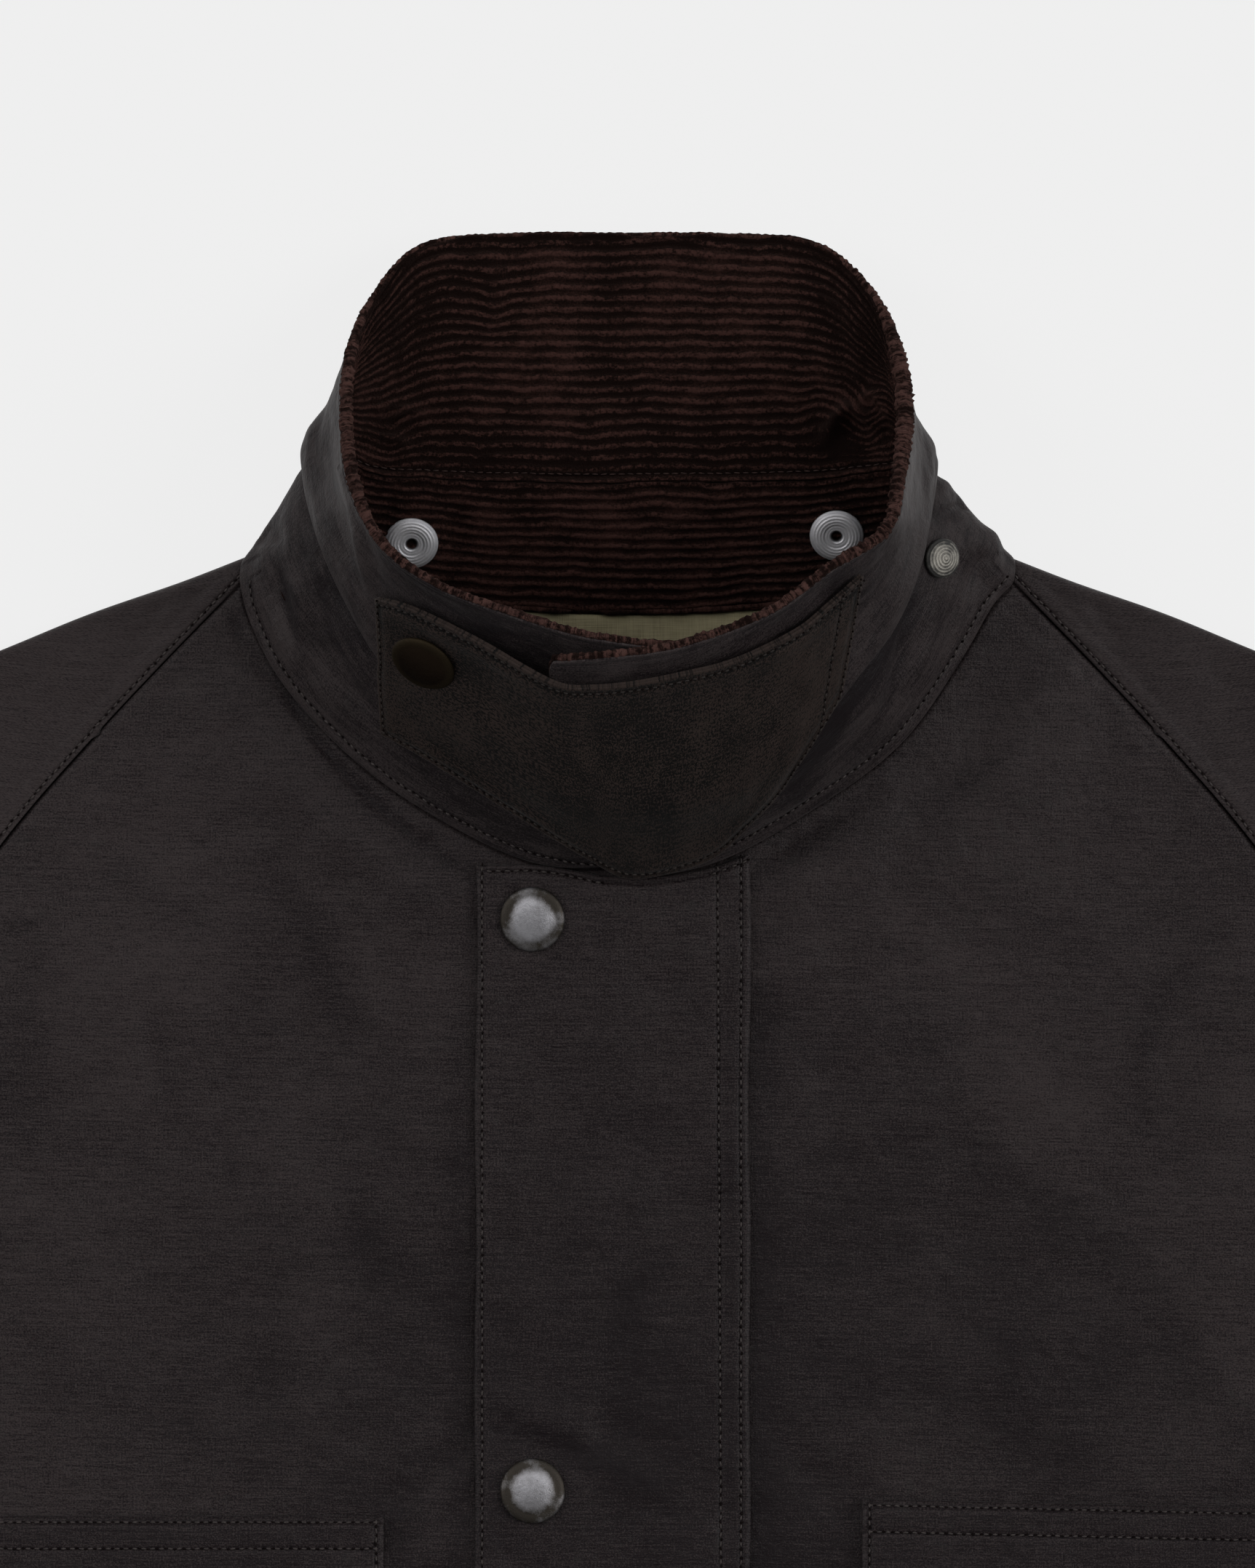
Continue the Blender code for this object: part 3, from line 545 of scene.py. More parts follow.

# %% [markdown]
# ## Corduroy, lining and thread
# Corduroy is a pile cut into cords, called wales. The UV map counts wales in v, so the finish
# can paint shade into the valleys between them and break up the nap along them. Rows of
# stitches are painted darker as shade too. Napped cloth has no gloss but a soft sheen. The lining
# is a plain dry cotton, and the thread is a twisted dark yarn.

# %% The napped and plain finishes
def napped(name, light, dark):
    f = Finish(name)
    wale = f.node("ShaderNodeSeparateXYZ", {}, {0: f.thread()}, output="Y")
    wale = wale + (f.noise(f.thread(0.45, 0.8), 1.0, 3.0, 0.7) - 0.5) * 0.5
    ridge = (wale * math.pi).maths("SINE").maths("ABSOLUTE")
    tuft = f.noise(f.thread(0.7, 1.7), 1.0, 4.0, 0.8)
    parted = f.noise(f.thread(0.3, 1.1), 1.0, 2.0).between(0.36, 0.52)
    fuzz = f.noise(f.place(), 1.7, 3.0, 0.8)
    lint = f.noise(f.thread(1.2, 2.8), 1.0, 4.0, 0.8)
    patch = f.noise(f.place(), 0.07, 3.0)
    # The wale tops stay light and the valleys between them are painted dark as shade.
    top = ridge.between(0.58, 1.02) * (0.1 + tuft * 1.4) * (0.55 + parted * 0.45)
    top = top * lint.between(0.30, 0.66) * 1.9 + (lint - 0.5) * 0.5
    row = f.attribute("stitch").hill(0.7)
    # Along the rows of stitches the corduroy is painted darker as shade in their groove.
    tone = top + (patch - 0.5) * 0.8 + (fuzz - 0.5) * 1.5 + f.attribute("tone") - row * 0.6
    linked = {"Base Color": f.mix(tone.clamped(), dark, light),
              "Normal": f.bump(tuft * 0.5 + fuzz * 0.6 - row * 0.5)}
    fixed = {"Roughness": 0.95, "Specular IOR Level": 0.04, "Sheen Weight": 0.04,
             "Sheen Roughness": 0.6, "Sheen Tint": (0.75, 0.45, 0.38, 1.0)}
    return f.finished(linked, fixed)


def plain_cotton(name, light, dark):
    f = Finish(name)
    warp = f.noise(f.thread(3.3, 0.12), 1.0, 2.0)
    weft = f.noise(f.thread(0.12, 3.3), 1.0, 2.0)
    cloud = f.noise(f.thread(), 0.12, 2.0)
    tone = (warp * 0.5 + weft * 0.5 + (cloud - 0.5) * 0.7).between(0.2, 0.8)
    linked = {"Base Color": f.mix(tone, dark, light),
              "Normal": f.bump(warp * 0.15 + weft * 0.15 + cloud * 0.3)}
    return f.finished(linked, {"Roughness": 0.9, "Specular IOR Level": 0.1})


def sewing_thread(name, light, dark, gloss=0.2):
    f = Finish(name)
    twist = f.noise(f.place(), 1.5, 2.0)
    linked = {"Base Color": f.mix(twist.between(0.3, 0.7), dark, light),
              "Roughness": 0.55 + twist * 0.2}
    return f.finished(linked, {"Specular IOR Level": gloss})


CORDUROY = napped("corduroy", (0.0375, 0.0168, 0.0138), (0.0026, 0.0010, 0.0008))
PILE_EDGE = napped("corduroy_pile_edge", (0.0620, 0.0310, 0.0262), (0.0040, 0.0016, 0.0013))
LINING = plain_cotton("lining_cotton", (0.255, 0.228, 0.140), (0.150, 0.130, 0.079))
THREAD = sewing_thread("waxed_thread", (0.042, 0.035, 0.033), (0.022, 0.018, 0.017))
NECK_THREAD = sewing_thread("neck_thread", (0.050, 0.042, 0.040), (0.024, 0.019, 0.018))
# A nearly black finish for the needle holes between stitches: painted shade in the holes.
NEEDLE_HOLE_SHADE = sewing_thread("needle_hole_shade", (0.0070, 0.0050, 0.0048), (0.0030, 0.0020, 0.0019), 0.02)
TAB_THREAD = sewing_thread("tab_thread", (0.024, 0.0190, 0.0165), (0.012, 0.0090, 0.0078))
TAB_TOP_THREAD = sewing_thread("tab_top_thread", (0.018, 0.0141, 0.0125), (0.010, 0.0077, 0.0067))
CORD_THREAD = sewing_thread("collar_thread", (0.030, 0.0150, 0.0125), (0.012, 0.0055, 0.0045))
print("cloth finishes:", CORDUROY.name, LINING.name, THREAD.name, CORD_THREAD.name)

# %% [markdown]
# ## Worn metal
# The snap caps are pewter-coloured and rubbed bright on the dome, with dark tarnish left in the
# ring around it. The tab's cap keeps its antique bronze nearly whole. The hood studs are brushed
# steel. The turned pieces carry an attribute, `radius`, so tarnish and wear can follow the ring
# and an eyelet's bore can be painted black as shade. Broad lighter and darker patches over the
# metal are painted reflection.

# %% The metal finishes
# Painted shade: the black of an eyelet's bore.
BORE_SHADE = (0.004, 0.003, 0.003)


def worn_metal(name, bright, dark, dome, roughness, grain=0.6, rings=0.0, bore=-1.0, metal=1.0):
    """Bright inside the radius of the dome and dark outside it, with scuffs, broad patches of
    painted reflection and painted shade in the bore.
    """
    f = Finish(name)
    radius = f.attribute("radius")
    scuff = f.noise(f.place(), 1.1, 5.0, 0.65)
    # Broad lighter and darker patches: painted reflection on the metal.
    sweep = f.noise(f.place(), 0.13, 2.0)
    spot = f.noise(f.place(), 3.7, 2.0)
    ring = (radius * 8.0).maths("SINE") * rings
    worn = 1.0 - radius.between(dome - 2.2, dome + 0.6)
    # The bore is painted black as shade.
    hollow = 1.0 - radius.between(bore, bore + 0.5)
    tone = worn * 0.8 + 0.05 + (scuff - 0.5) * grain + (spot - 0.5) * 0.3
    tone = (tone + (sweep - 0.5) * grain * 3.0 + ring - hollow * 2.0).clamped()
    linked = {"Base Color": f.mix(hollow, f.mix(tone, dark, bright), BORE_SHADE),
              "Roughness": roughness + (1.0 - tone) * 0.2 + (scuff - 0.5) * 0.2,
              "Normal": f.bump(scuff * 0.08 + spot * 0.05 + ring * 0.3)}
    return f.finished(linked, {"Metallic": metal})


PEWTER = worn_metal("pewter", (0.36, 0.355, 0.375), (0.038, 0.033, 0.028), 5.9, 0.36)
BRONZE = worn_metal("antique_bronze", (0.0185, 0.0120, 0.0078), (0.0260, 0.0195, 0.0115), 7.6, 0.45,
                    grain=0.2)
STEEL = worn_metal("brushed_metal", (0.56, 0.55, 0.57), (0.25, 0.25, 0.27), 6.9, 0.45,
                   grain=0.35, rings=0.12, bore=1.15, metal=0.6)
STUD_STEEL = worn_metal("brushed_stud", (0.27, 0.255, 0.225), (0.03, 0.029, 0.028), 4.9, 0.5,
                        grain=1.3, rings=0.2, metal=0.6)
print("metal finishes:", PEWTER.name, BRONZE.name, STEEL.name, STUD_STEEL.name)

# %% [markdown]
# ## The front panels
# Each front is one flat cut between the middle, the hem, the side seam and the raglan seam, and
# it climbs to the collar at the neck. The grid is close where the cloth shows its creases and
# wide towards the hem. Along the sleeve and the neck its edge sinks under the cloth sewn on top.

# %% Edges of a body panel
def along_line(points, shares):
    """Points at given shares of a line's length."""
    points = np.asarray(points, float)
    done = run_along(points)
    return np.stack([np.interp(shares * done[-1], done, column) for column in points.T], -1)


def coons(left, right, bottom, top):
    """A grid of points that fills the space between four edges."""
    done_up, done_across = run_along(left), run_along(bottom)
    v = (done_up / done_up[-1])[:, None, None]
    u = (done_across / done_across[-1])[None, :, None]
    sides = lerp(left[:, None], right[:, None], u)
    ends = lerp(bottom[None], top[None], v)
    corners = lerp(lerp(bottom[0], bottom[-1], u), lerp(top[0], top[-1], u), v)
    return sides + ends - corners


def neck_edge(first, last, shares, sink):
    line = smooth_row(COLLAR, np.linspace(first, last, 60))[:, :2]
    return along_line(line, shares) - (0, sink)


def side_edge(column, side, shares):
    """A body panel's outer edge from the hem up, by its side seam and its raglan seam."""
    points = np.vstack([[(HEM_HALF, HEM_Y)], raglan_line(column)[::-1]])
    return along_line((points - (SEAM_GAP, 0)) * (side, 1), shares)


def crowded(count, power):
    """Shares from 0 to 1 that crowd towards 1."""
    return 1 - (1 - np.linspace(0, 1, count)) ** power


print("rows of a front crowd up to", crowded(230, 1.7)[-3:].round(4))

# %% Creases and tones of the fronts
LEFT_CREASES = (
    (-98.5, 42, -68.6, 1.2, -35, -26.5, 1.9, -1.3), (-106, 28, -78, -7, -44, -33, 5.5, 1.3),
    (-97, 44, -94.5, 33, -88, 22, 2.6, -0.7), (-119, -50, -117.5, -67, -112, -88, 3.5, -0.45),
    (-84, -52, -80, -68, -83, -92, 4.5, -0.4), (-60, -34, -72, -60, -76, -100, 12, -0.8),
    (-45, -60, -50, -95, -46, -130, 9, 0.5), (-150, -60, -120, -110, -118, -170, 16, -0.9),
    (-38, -158, -49, -171, -66, -181, 4.5, -0.9), (-38, -168, -47, -177, -58, -186, 3, 0.6),
    (-104, -128, -92, -150, -88, -178, 10, -0.5), (-180, -120, -170, -170, -182, -230, 16, -1.2),
    (-240, -230, -215, -262, -170, -285, 11, -1.5), (-262, -262, -236, -312, -196, -340, 12, 1.2),
    (-70, -420, -95, -462, -88, -535, 13, -1.1), (-160, -455, -172, -500, -158, -560, 10, -1),
    (-235, -430, -225, -480, -240, -555, 13, 1),
)
RIGHT_CREASES = (
    (28, -21, 46, -11, 64, -1, 3.2, -0.9), (31, -29, 55, -17, 74, 2, 5, 0.8),
    (96, 36, 86, 12, 58, -16, 6, -0.8), (104, 30, 96, 0, 70, -32, 10, 0.7),
    (88, -28, 84, -52, 88, -80, 11, -0.6), (44, -46, 50, -80, 46, -120, 12, -0.55),
    (112, -18, 122, -52, 118, -96, 9, 0.5), (74, -96, 92, -118, 128, -128, 9, -0.5),
    (62, -132, 84, -142, 118, -158, 8, 0.45), (148, -70, 128, -104, 132, -160, 15, -0.8),
    (33, -150, 42, -168, 58, -176, 5, -0.7), (186, -110, 172, -160, 186, -222, 16, -1.1),
    (246, -238, 212, -270, 176, -276, 11, -1.4), (258, -280, 240, -322, 204, -352, 12, 1.1),
    (66, -430, 84, -478, 76, -548, 12, -1.2), (150, -448, 168, -506, 160, -566, 11, 1.1),
    (228, -436, 236, -490, 222, -550, 14, -1),
)
# Painted shade along the troughs of the creases and beside the fly's edges, painted highlight on
# the folds next to them, and broad lighter and darker patches.
FRONT_TONES = (
    (-99, 43, -68.4, 1.4, -35, -26.5, 1.5, -0.7), (-95, 46, -65, 6.5, -33, -20, 2.4, 0.42),
    (-102, 33, -75, -3, -42, -30.5, 3.2, 0.22), (-98, 44, -95, 34, -89, 24, 2, -0.28),
    (-94, -12, -80, -34, -64, -76, 4.2, -0.36), (-76, -80, -68, -100, -60, -130, 5, -0.36),
    (-84, -18, -68, -36, -54, -70, 3.4, 0.2), (-92, -90, -88, -120, -90, -160, 6, -0.24),
    (-108, -140, -110, -156, -100, -172, 6, -0.28), (-134, -17, -120, -28, -104, -38, 3.2, -0.24),
    (-119, -46, -117, -62, -110, -86, 3.2, -0.34), (-148, -18, -150, -42, -146, -70, 6, -0.24),
    (-41.5, -24, -42, -150, -41.5, -290, 3.4, -0.52), (-52, -70, -62, -160, -70, -290, 19, -0.5),
    (-84, -112, -94, -170, -102, -250, 13, -0.28), (-38, -157, -49, -170, -66, -181, 4, -0.35),
    (-108, 40, -112, -14, -146, -84, 30, 0.34), (22, -30, 46, -13.5, 62, -2, 2.6, -0.42),
    (48, -18, 73, -6, 107, 17, 3.4, -0.26), (30, -33, 55, -18, 74, 0, 4, 0.2),
    (114, 46, 110, 26, 100, 2, 9, 0.32), (34, -28, 33.5, -150, 34, -290, 4, -0.48),
    (36, -110, 44, -190, 48, -290, 14, -0.26), (96, -50, 99, -72, 116, -98, 9, 0.26),
    (84, -108, 92, -128, 96, -170, 7, -0.3), (62, -150, 90, -158, 124, -174, 9, -0.22),
    (129, -90, 128, -63, 148, -34, 3.6, -0.4),
)
# The upper edge of the pocket bag that shows through the right front
POCKET_BAG = (
    (28, -47), (53.6, -54.5), (70, -57), (82.4, -58.5), (84.6, -84), (107.7, -99.5), (129.3, -116),
    (137, -130), (150, -150), (200, -160),
)
print(len(LEFT_CREASES), "and", len(RIGHT_CREASES), "creases")

# %% Make both fronts
FRONT_CUT, FRONT_WALL = (300.0, 660.0), 0.8
FRONT_ROWS, FRONT_COLUMNS, FRONT_CROWDING, ACROSS_CROWDING = 230, 168, 1.7, 1.25
RAGLAN_FOOT, MIDDLE_GAP = -249.0, 0.15
EDGE_SINK, EDGE_REACH = 0.38, 0.6
HEM_ROW, HEM_STEP = 18.0, 0.25


def make_front(side, name, creases, neck_rows):
    up = crowded(FRONT_ROWS, FRONT_CROWDING)
    across = 1 - crowded(FRONT_COLUMNS, ACROSS_CROWDING)[::-1]
    outer = side_edge(2, side, up)
    top = neck_edge(*neck_rows, across, SEAM_GAP)
    top[0] = (side * MIDDLE_GAP, top[0][1])
    top[-1] = outer[-1]
    middle = lerp(np.array([top[0][0], HEM_Y]), top[0], up[:, None])
    bottom = lerp(middle[0], outer[0], across[:, None])
    x, y = np.moveaxis(coons(middle, outer, bottom, top), -1, 0)
    seam = near_line(x, y, np.vstack([outer[outer[:, 1] > RAGLAN_FOOT], top[::-1]]))[0]
    z = height(x, y) + creased(x, y, creases) + 0.16 * wander(x, y, 17, 5) * (seam > 4)
    z += 0.35 * wander(x, y, 55, 8) * capped(seam / 30)
    z -= EDGE_SINK * bell(seam, EDGE_REACH)
    z -= HEM_STEP * (y > HEM_Y + HEM_ROW + 0.5)
    tone = creased(x, y, FRONT_TONES)
    tone += 0.10 * wander(x, y, 30, 12) + 0.08 * wander(x, 1.6 * y, 11, 13)
    if side > 0:
        bag_top = np.interp(x, *np.transpose(POCKET_BAG))
        tone -= (0.24 + 0.20 * capped(-(y + 60) / 55)) / (1 + np.exp((y - bag_top) / 0.7))
    points, uv = np.stack([x, y, z], -1), np.stack([x, y + 0.02 * x], -1)
    grids = facing_out(side, points, uv, abs(y - HEM_Y - HEM_ROW), tone)
    lay_sheet(f"cloth_{name}", name, WAXED, FRONT_WALL, grids, FRONT_CUT)


make_front(-1, "front_left", LEFT_CREASES, (1.0, 7.0))
make_front(1, "front_right", RIGHT_CREASES, (23.0, 17.0))

# %% [markdown]
# ## The back panel
# The back lies flat on the floor under everything. Its outer face looks down, so its grid runs
# the other way across, and only its edges can show.

# %% Make the back
BACK_CUT, BACK_WALL, BACK_ROWS = (570.0, 640.0), 0.8, 60


def make_back():
    across = np.linspace(0, 1, BACK_ROWS)
    right = side_edge(4, 1, crowded(BACK_ROWS, 1.2))
    left = right * (-1, 1)
    top = neck_edge(9.0, 15.0, across, 2 * SEAM_GAP)
    left[-1], right[-1] = top[0], top[-1]
    bottom = lerp(left[0], right[0], across[:, None])
    flat = coons(left, right, bottom, top)[:, ::-1]
    x, y = np.moveaxis(flat, -1, 0)
    grids = np.stack([x, y, 0 * x], -1), flat, abs(y - HEM_Y - HEM_ROW), 0 * x
    lay_sheet("cloth_back", "back", WAXED, BACK_WALL, grids, BACK_CUT)


make_back()

# %% [markdown]
# ## The sleeves
# A raglan sleeve runs up to the neck. Below the underarm it is a flattened tube, and above it an
# open fold over the shoulder, sewn to the back and the front. A section is worked out in the
# order that a hand would follow round it: the seam, the underside, the fold, the top, the seam.

# %% Sections of a sleeve
def sleeve_sections(at):
    """The points round each section, the column where the top starts, and which are closed."""
    over, front, back = (smooth_row(SLEEVE, at)[:, i : i + 2] for i in (0, 2, 4))
    closed = at >= UNDERARM_ROW
    apart = np.where(closed, 0, SEAM_GAP)[:, None] * (1, 0)
    back, front = np.where(closed[:, None], front, back) + apart, front + apart
    top = height(over[:, 0], over[:, 1])
    fold, seam = top / 2, STACK / 2
    under_run, top_run = (np.linalg.norm(over - edge, axis=1) for edge in (back, front))
    columns = []

    def add(edge, run, inward, rise=None):
        """A column of points, this far in from the seam. It lies on the front if not raised."""
        spot = lerp(edge, over, (inward / run)[:, None])
        if rise is None:
            rise = height(spot[:, 0], spot[:, 1])
        columns.append(np.column_stack([spot, rise]))

    for angle in np.radians((0, 22.5, 45, 67.5, 90)):
        rise = np.where(closed, seam * (1 - math.sin(angle)), 0)
        add(back, under_run, seam * (1 - math.cos(angle)) + 0 * top, rise)
    for share in np.linspace(0, 1, 12)[1:-1]:
        add(back, under_run, lerp(seam, under_run - fold, share), 0 * top)
    for angle in np.radians(np.linspace(-90, 0, 6)):
        add(back, under_run, under_run - fold * (1 - math.cos(angle)), fold * (1 + math.sin(angle)))
    for angle in np.radians(np.linspace(0, 90, 6)[1:]):
        add(front, top_run, top_run - fold * (1 - math.cos(angle)), fold * (1 + math.sin(angle)))
    top_from = len(columns)
    for share in np.linspace(0, 1, 64)[1:] ** 0.85:
        add(front, top_run, lerp(top_run - fold, seam + 0 * top, share))
    for angle in np.radians((67.5, 45, 22.5, 0)):
        add(front, top_run, seam * (1 - math.cos(angle)) + 0 * top)
        columns[-1][closed, 2] = seam * (1 + math.sin(angle))
    return np.stack(columns, 1), top_from, closed


SLEEVE_CREASES = (
    (113, 50, 108, 47, 103.5, 45, 1.8, -0.8), (118, 48, 112, 43, 106, 41, 2.4, 0.7),
    (112, 50, 117, 42, 123, 34, 2.2, -0.6), (138, 40, 134, 30, 124, 24, 7, 0.7),
    (152, 34, 150, 18, 141, 8, 7, -0.8), (170, 26, 172, 2, 164, -16, 9, 0.9),
    (262, -15, 240, -62, 226, -106, 11, -1.6), (292, -34, 276, -78, 246, -126, 9, 1.4),
    (300, -60, 290, -120, 264, -178, 10, -1.5), (396, -118, 372, -166, 330, -196, 8, -1.7),
    (420, -150, 392, -190, 352, -222, 7, 1.3), (440, -168, 424, -222, 376, -262, 9, -1.4),
    (516, -236, 490, -280, 452, -306, 8, 1.2), (560, -300, 520, -330, 486, -372, 9, -1.3),
)
SLEEVE_CUT, SLEEVE_WALL, SLEEVE_ROWS = (560.0, 760.0), 0.8, 150
SEAM_ROW, CUFF_ROW = 1.5, 14.0
FELL_WIDTH, FELL_RISE = 4.6, 0.55
SLEEVE_TONES = {-1: 0.58, 1: 0.30}


def make_sleeve(side, name, seed):
    at = np.linspace(0, 1, SLEEVE_ROWS) ** 1.35 * (len(SLEEVE) - 1)
    at[np.argmin(abs(at - UNDERARM_ROW))] = UNDERARM_ROW
    points, top_from, closed = sleeve_sections(at)
    x, y = points[..., 0], points[..., 1]
    seam = near_line(x, y, RAGLAN)[0]
    lift = creased(x, y, SLEEVE_CREASES)
    lift += 0.35 * wander(x, y, 38, seed) + 0.12 * wander(x, y, 15, seed + 1)
    lift *= np.clip(seam / 9, 0.15, 1)
    for line in (OVERARM, UNDERARM):
        lift *= capped(near_line(x, y, line)[0] / 9)
    lift += FELL_RISE * (1 - np.tanh((seam - FELL_WIDTH) / 0.8)) / 2 - 0.5 * bell(seam, 0.5)
    lift[:, :top_from] = 0
    points[..., 2] += lift
    around, down = run_along(points, 1), run_along(points, 0)
    down = down[:, top_from + 20 : top_from + 21] + 0 * around
    stitch = np.where(np.arange(points.shape[1]) >= top_from, abs(seam - SEAM_ROW), FAR)
    stitch = np.minimum(stitch, abs(down.max() - CUFF_ROW - down))
    tone = np.full(seam.shape, SLEEVE_TONES[side])
    points, uv, stitch, tone = facing_out(side, points, np.stack([down, around], -1), stitch, tone)
    lay_sheet(f"cloth_{name}", name, WAXED, SLEEVE_WALL, (points * (side, 1, 1), uv, stitch, tone),
              SLEEVE_CUT, wrap_from=int(np.argmax(closed)))


make_sleeve(1, "sleeve_right", 21)
make_sleeve(-1, "sleeve_left", 31)

# %% [markdown]
# ## The collar's shape
# The collar is one strip that stands up around the neck: the stand from the neck seam to a fold,
# and the leaf from the fold to the free edge. Each has waxed cotton outside and corduroy inside.
# `collar_point` gives the middle between the two cloths, and `collar_lifted` moves off along its
# outward normal, so all four cloths, the tab and the studs agree on where the collar is.

# %% Points on and off the collar
COLLAR_LENGTH, ROW_LENGTH, COLLAR_ROWS = 460.0, 18.0, 24
TIP_RADIUS, TIP_CUT = 0.16, 0.22


def collar_point(at, rise):
    """Rise 0 is the neck seam, 1 the fold and 2 the free edge. Below 0 it is on the front."""
    row = smooth_row(COLLAR, at)
    seam, fold, edge = row[..., 0:3], row[..., 3:6], row[..., 6:9]
    rise = np.asarray(rise, float)[..., None]
    found = np.where(rise < 1, lerp(seam, fold, rise), lerp(fold, edge, rise - 1))
    if not np.any(rise < 0):
        return found
    down = unit((fold - seam)[..., :2]) * np.minimum(rise, 0) * STAND_HEIGHT
    x, y = np.moveaxis(seam[..., :2] + down, -1, 0)
    return np.where(rise < 0, np.stack([x, y, height(x, y)], -1), found)


def collar_lifted(at, rise, lift, step=0.05):
    """The same point, moved off by a lift, and the outward normal."""
    at, rise = np.broadcast_arrays(np.asarray(at, float), np.asarray(rise, float))
    across = collar_point(at + step, rise) - collar_point(at - step, rise)
    up = collar_point(at, rise + step) - collar_point(at, rise - step)
    normal = unit(np.cross(up, across))
    return collar_point(at, rise) + normal * np.asarray(lift, float)[..., None], normal


def roll(rise):
    return ROLL * bell(rise - ROLL_AT, ROLL_REACH)


def collar_grid(rises, columns):
    """The row around the neck for each point of a grid. The right end's top corner is round."""
    rise = np.asarray(rises, float)[:, None]
    first, last = (end[0] + end[1] * rise for end in (LEFT_END, RIGHT_END))
    over = capped((rise - (2 - TIP_RADIUS)) / TIP_RADIUS)
    last = last - TIP_CUT * (1 - np.sqrt(1 - over**2))
    at = lerp(first, last, np.linspace(0, 1, columns)[None])
    return at, rise + 0 * at


def round_neck(at):
    """A row's length around the collar in millimetres, for the UV maps."""
    return at / COLLAR_ROWS * COLLAR_LENGTH


def collar_wander(at, rise, size, seed):
    """A drift over the collar, with hills of about the given size in millimetres."""
    return wander(at * ROW_LENGTH, rise * STAND_HEIGHT, size, seed)


print("collar edge at the back:", collar_point(np.array(12.0), np.array(2.0)).round(1))

# %% [markdown]
# ## The waxed side of the collar
# The stand carries the pinches and folds that come from bending a stiff band round a neck. The
# leaf's lower edge rolls out over the stand in a soft bulge with a gap under it, where the stand
# is painted dark as shadow. Creases are placed by where they lie seen from above, and move the
# cloth along its own normal. The tables of tones paint light and shade along the folds.

# %% Creases and tones of the collar
STAND_CREASES = (
    (-89, 58.5, -86, 47, -82.5, 31, 2.2, -1.3), (-84, 59, -81.5, 48, -79, 34, 1.8, 1.1),
    (-91.5, 50, -88, 40, -82, 27, 2.2, 0.7), (-80, 28, -72, 20, -62, 11, 3, 0.7),
    (-74, 36, -69, 24, -63, 16, 2.4, -0.8), (-60, 4, -50, -3, -38, -11, 2.6, 0.7),
    (64, 17, 67.5, 32, 69, 49, 2.4, -1.3), (72, 22, 75, 38, 76.5, 54, 2.6, 1),
    (82, 46, 86.5, 53, 88, 62, 2, -0.9), (88, 46, 91, 53, 92, 60, 1.8, 0.6),
    (87, 72, 81, 68, 75.5, 64, 2, -2.2), (80, 78, 77.5, 72.5, 73.5, 67.5, 1.8, 0.8),
    (98, 66, 90, 61, 80, 57, 3, 1.6), (-97, 67, -91, 62.5, -84, 60, 2.6, -2),
    (52, 13, 60, 22, 66, 30, 2.5, 0.8), (56, 2, 66, 13, 76, 27, 2.2, -0.5),
)
LEAF_CREASES = (
    (-72.5, 86, -67.1, 63.3, -62.2, 43, 1.1, 1.3), (-70.5, 84, -64.6, 62.5, -60, 44, 1.5, -0.8),
    (-75.5, 84, -70.2, 62, -65, 42, 1.8, -0.5), (-60, 56, -50, 47, -38, 41, 1.8, -0.6),
    (-66, 72, -64, 66, -60, 60, 1.2, -0.5), (71, 78, 69.5, 66, 65, 53, 1.8, 0.9),
    (74.5, 74, 72.5, 62, 68, 48, 1.4, -0.7), (62, 58, 58, 49, 50, 40, 1.8, 0.6),
    (66, 62, 61, 54, 55, 49, 1.4, -0.5), (-14, 28.5, 4, 29, 22, 33, 1.5, -0.35),
)
# Painted shade in the fold troughs, under the leaf's rolled foot and along the tab's lower edge,
# and painted highlight on the fold ridges.
STAND_TONES = (
    (-76, 56, -68, 42, -60, 28, 3.2, -0.55), (-86.5, 60, -84.3, 46, -79.5, 28, 1.5, -0.95),
    (-88.5, 58, -86.8, 46, -82, 30, 1.3, 0.5), (-90, 50, -87.5, 40, -82, 26, 2.2, 0.4),
    (-79, 56, -75, 42, -70, 28, 1.8, -0.4), (-74, 36, -68.5, 24, -60, 14, 1.7, 0.35),
    (-60, 6, -52, 0, -42, -7, 1.6, 0.3), (-57, 14, -50, 4, -40, -4, 2, -0.45),
    (-73, 48, -68, 30, -60, 14, 2, -0.22), (84, 71, 80, 67.5, 75.5, 64.5, 1.5, -0.8),
    (72.5, 52, 58, 25.5, 38, -4, 2, -3), (72, 38, 61, 19, 46, 2, 1.8, 0.45),
    (75, 62, 66, 42, 50, 16, 4, -0.3), (69.5, 40, 65.5, 24, 60.5, 12, 1.5, -0.95),
    (72, 40, 68.5, 24, 63.5, 11, 2, 0.36), (-84, 72, -73, 46, -62, 14, 6, -0.34),
    (-62, 12, -40, -3, -12, -22, 5, -0.45), (-92, 46, -82, 26, -66, 8, 5, 0.25),
    (76, 70, 69, 44, 52, 16, 6, -0.35), (66, 40, 50, 10, 24, -12, 5, -0.3),
    (-72, 12, -60, 0, -44, -8, 3, 0.36), (-52, -4, -32, -15, -12, -24, 3, -0.4),
    (92, 58, 84, 36, 66, 12, 6, 0.12),
)
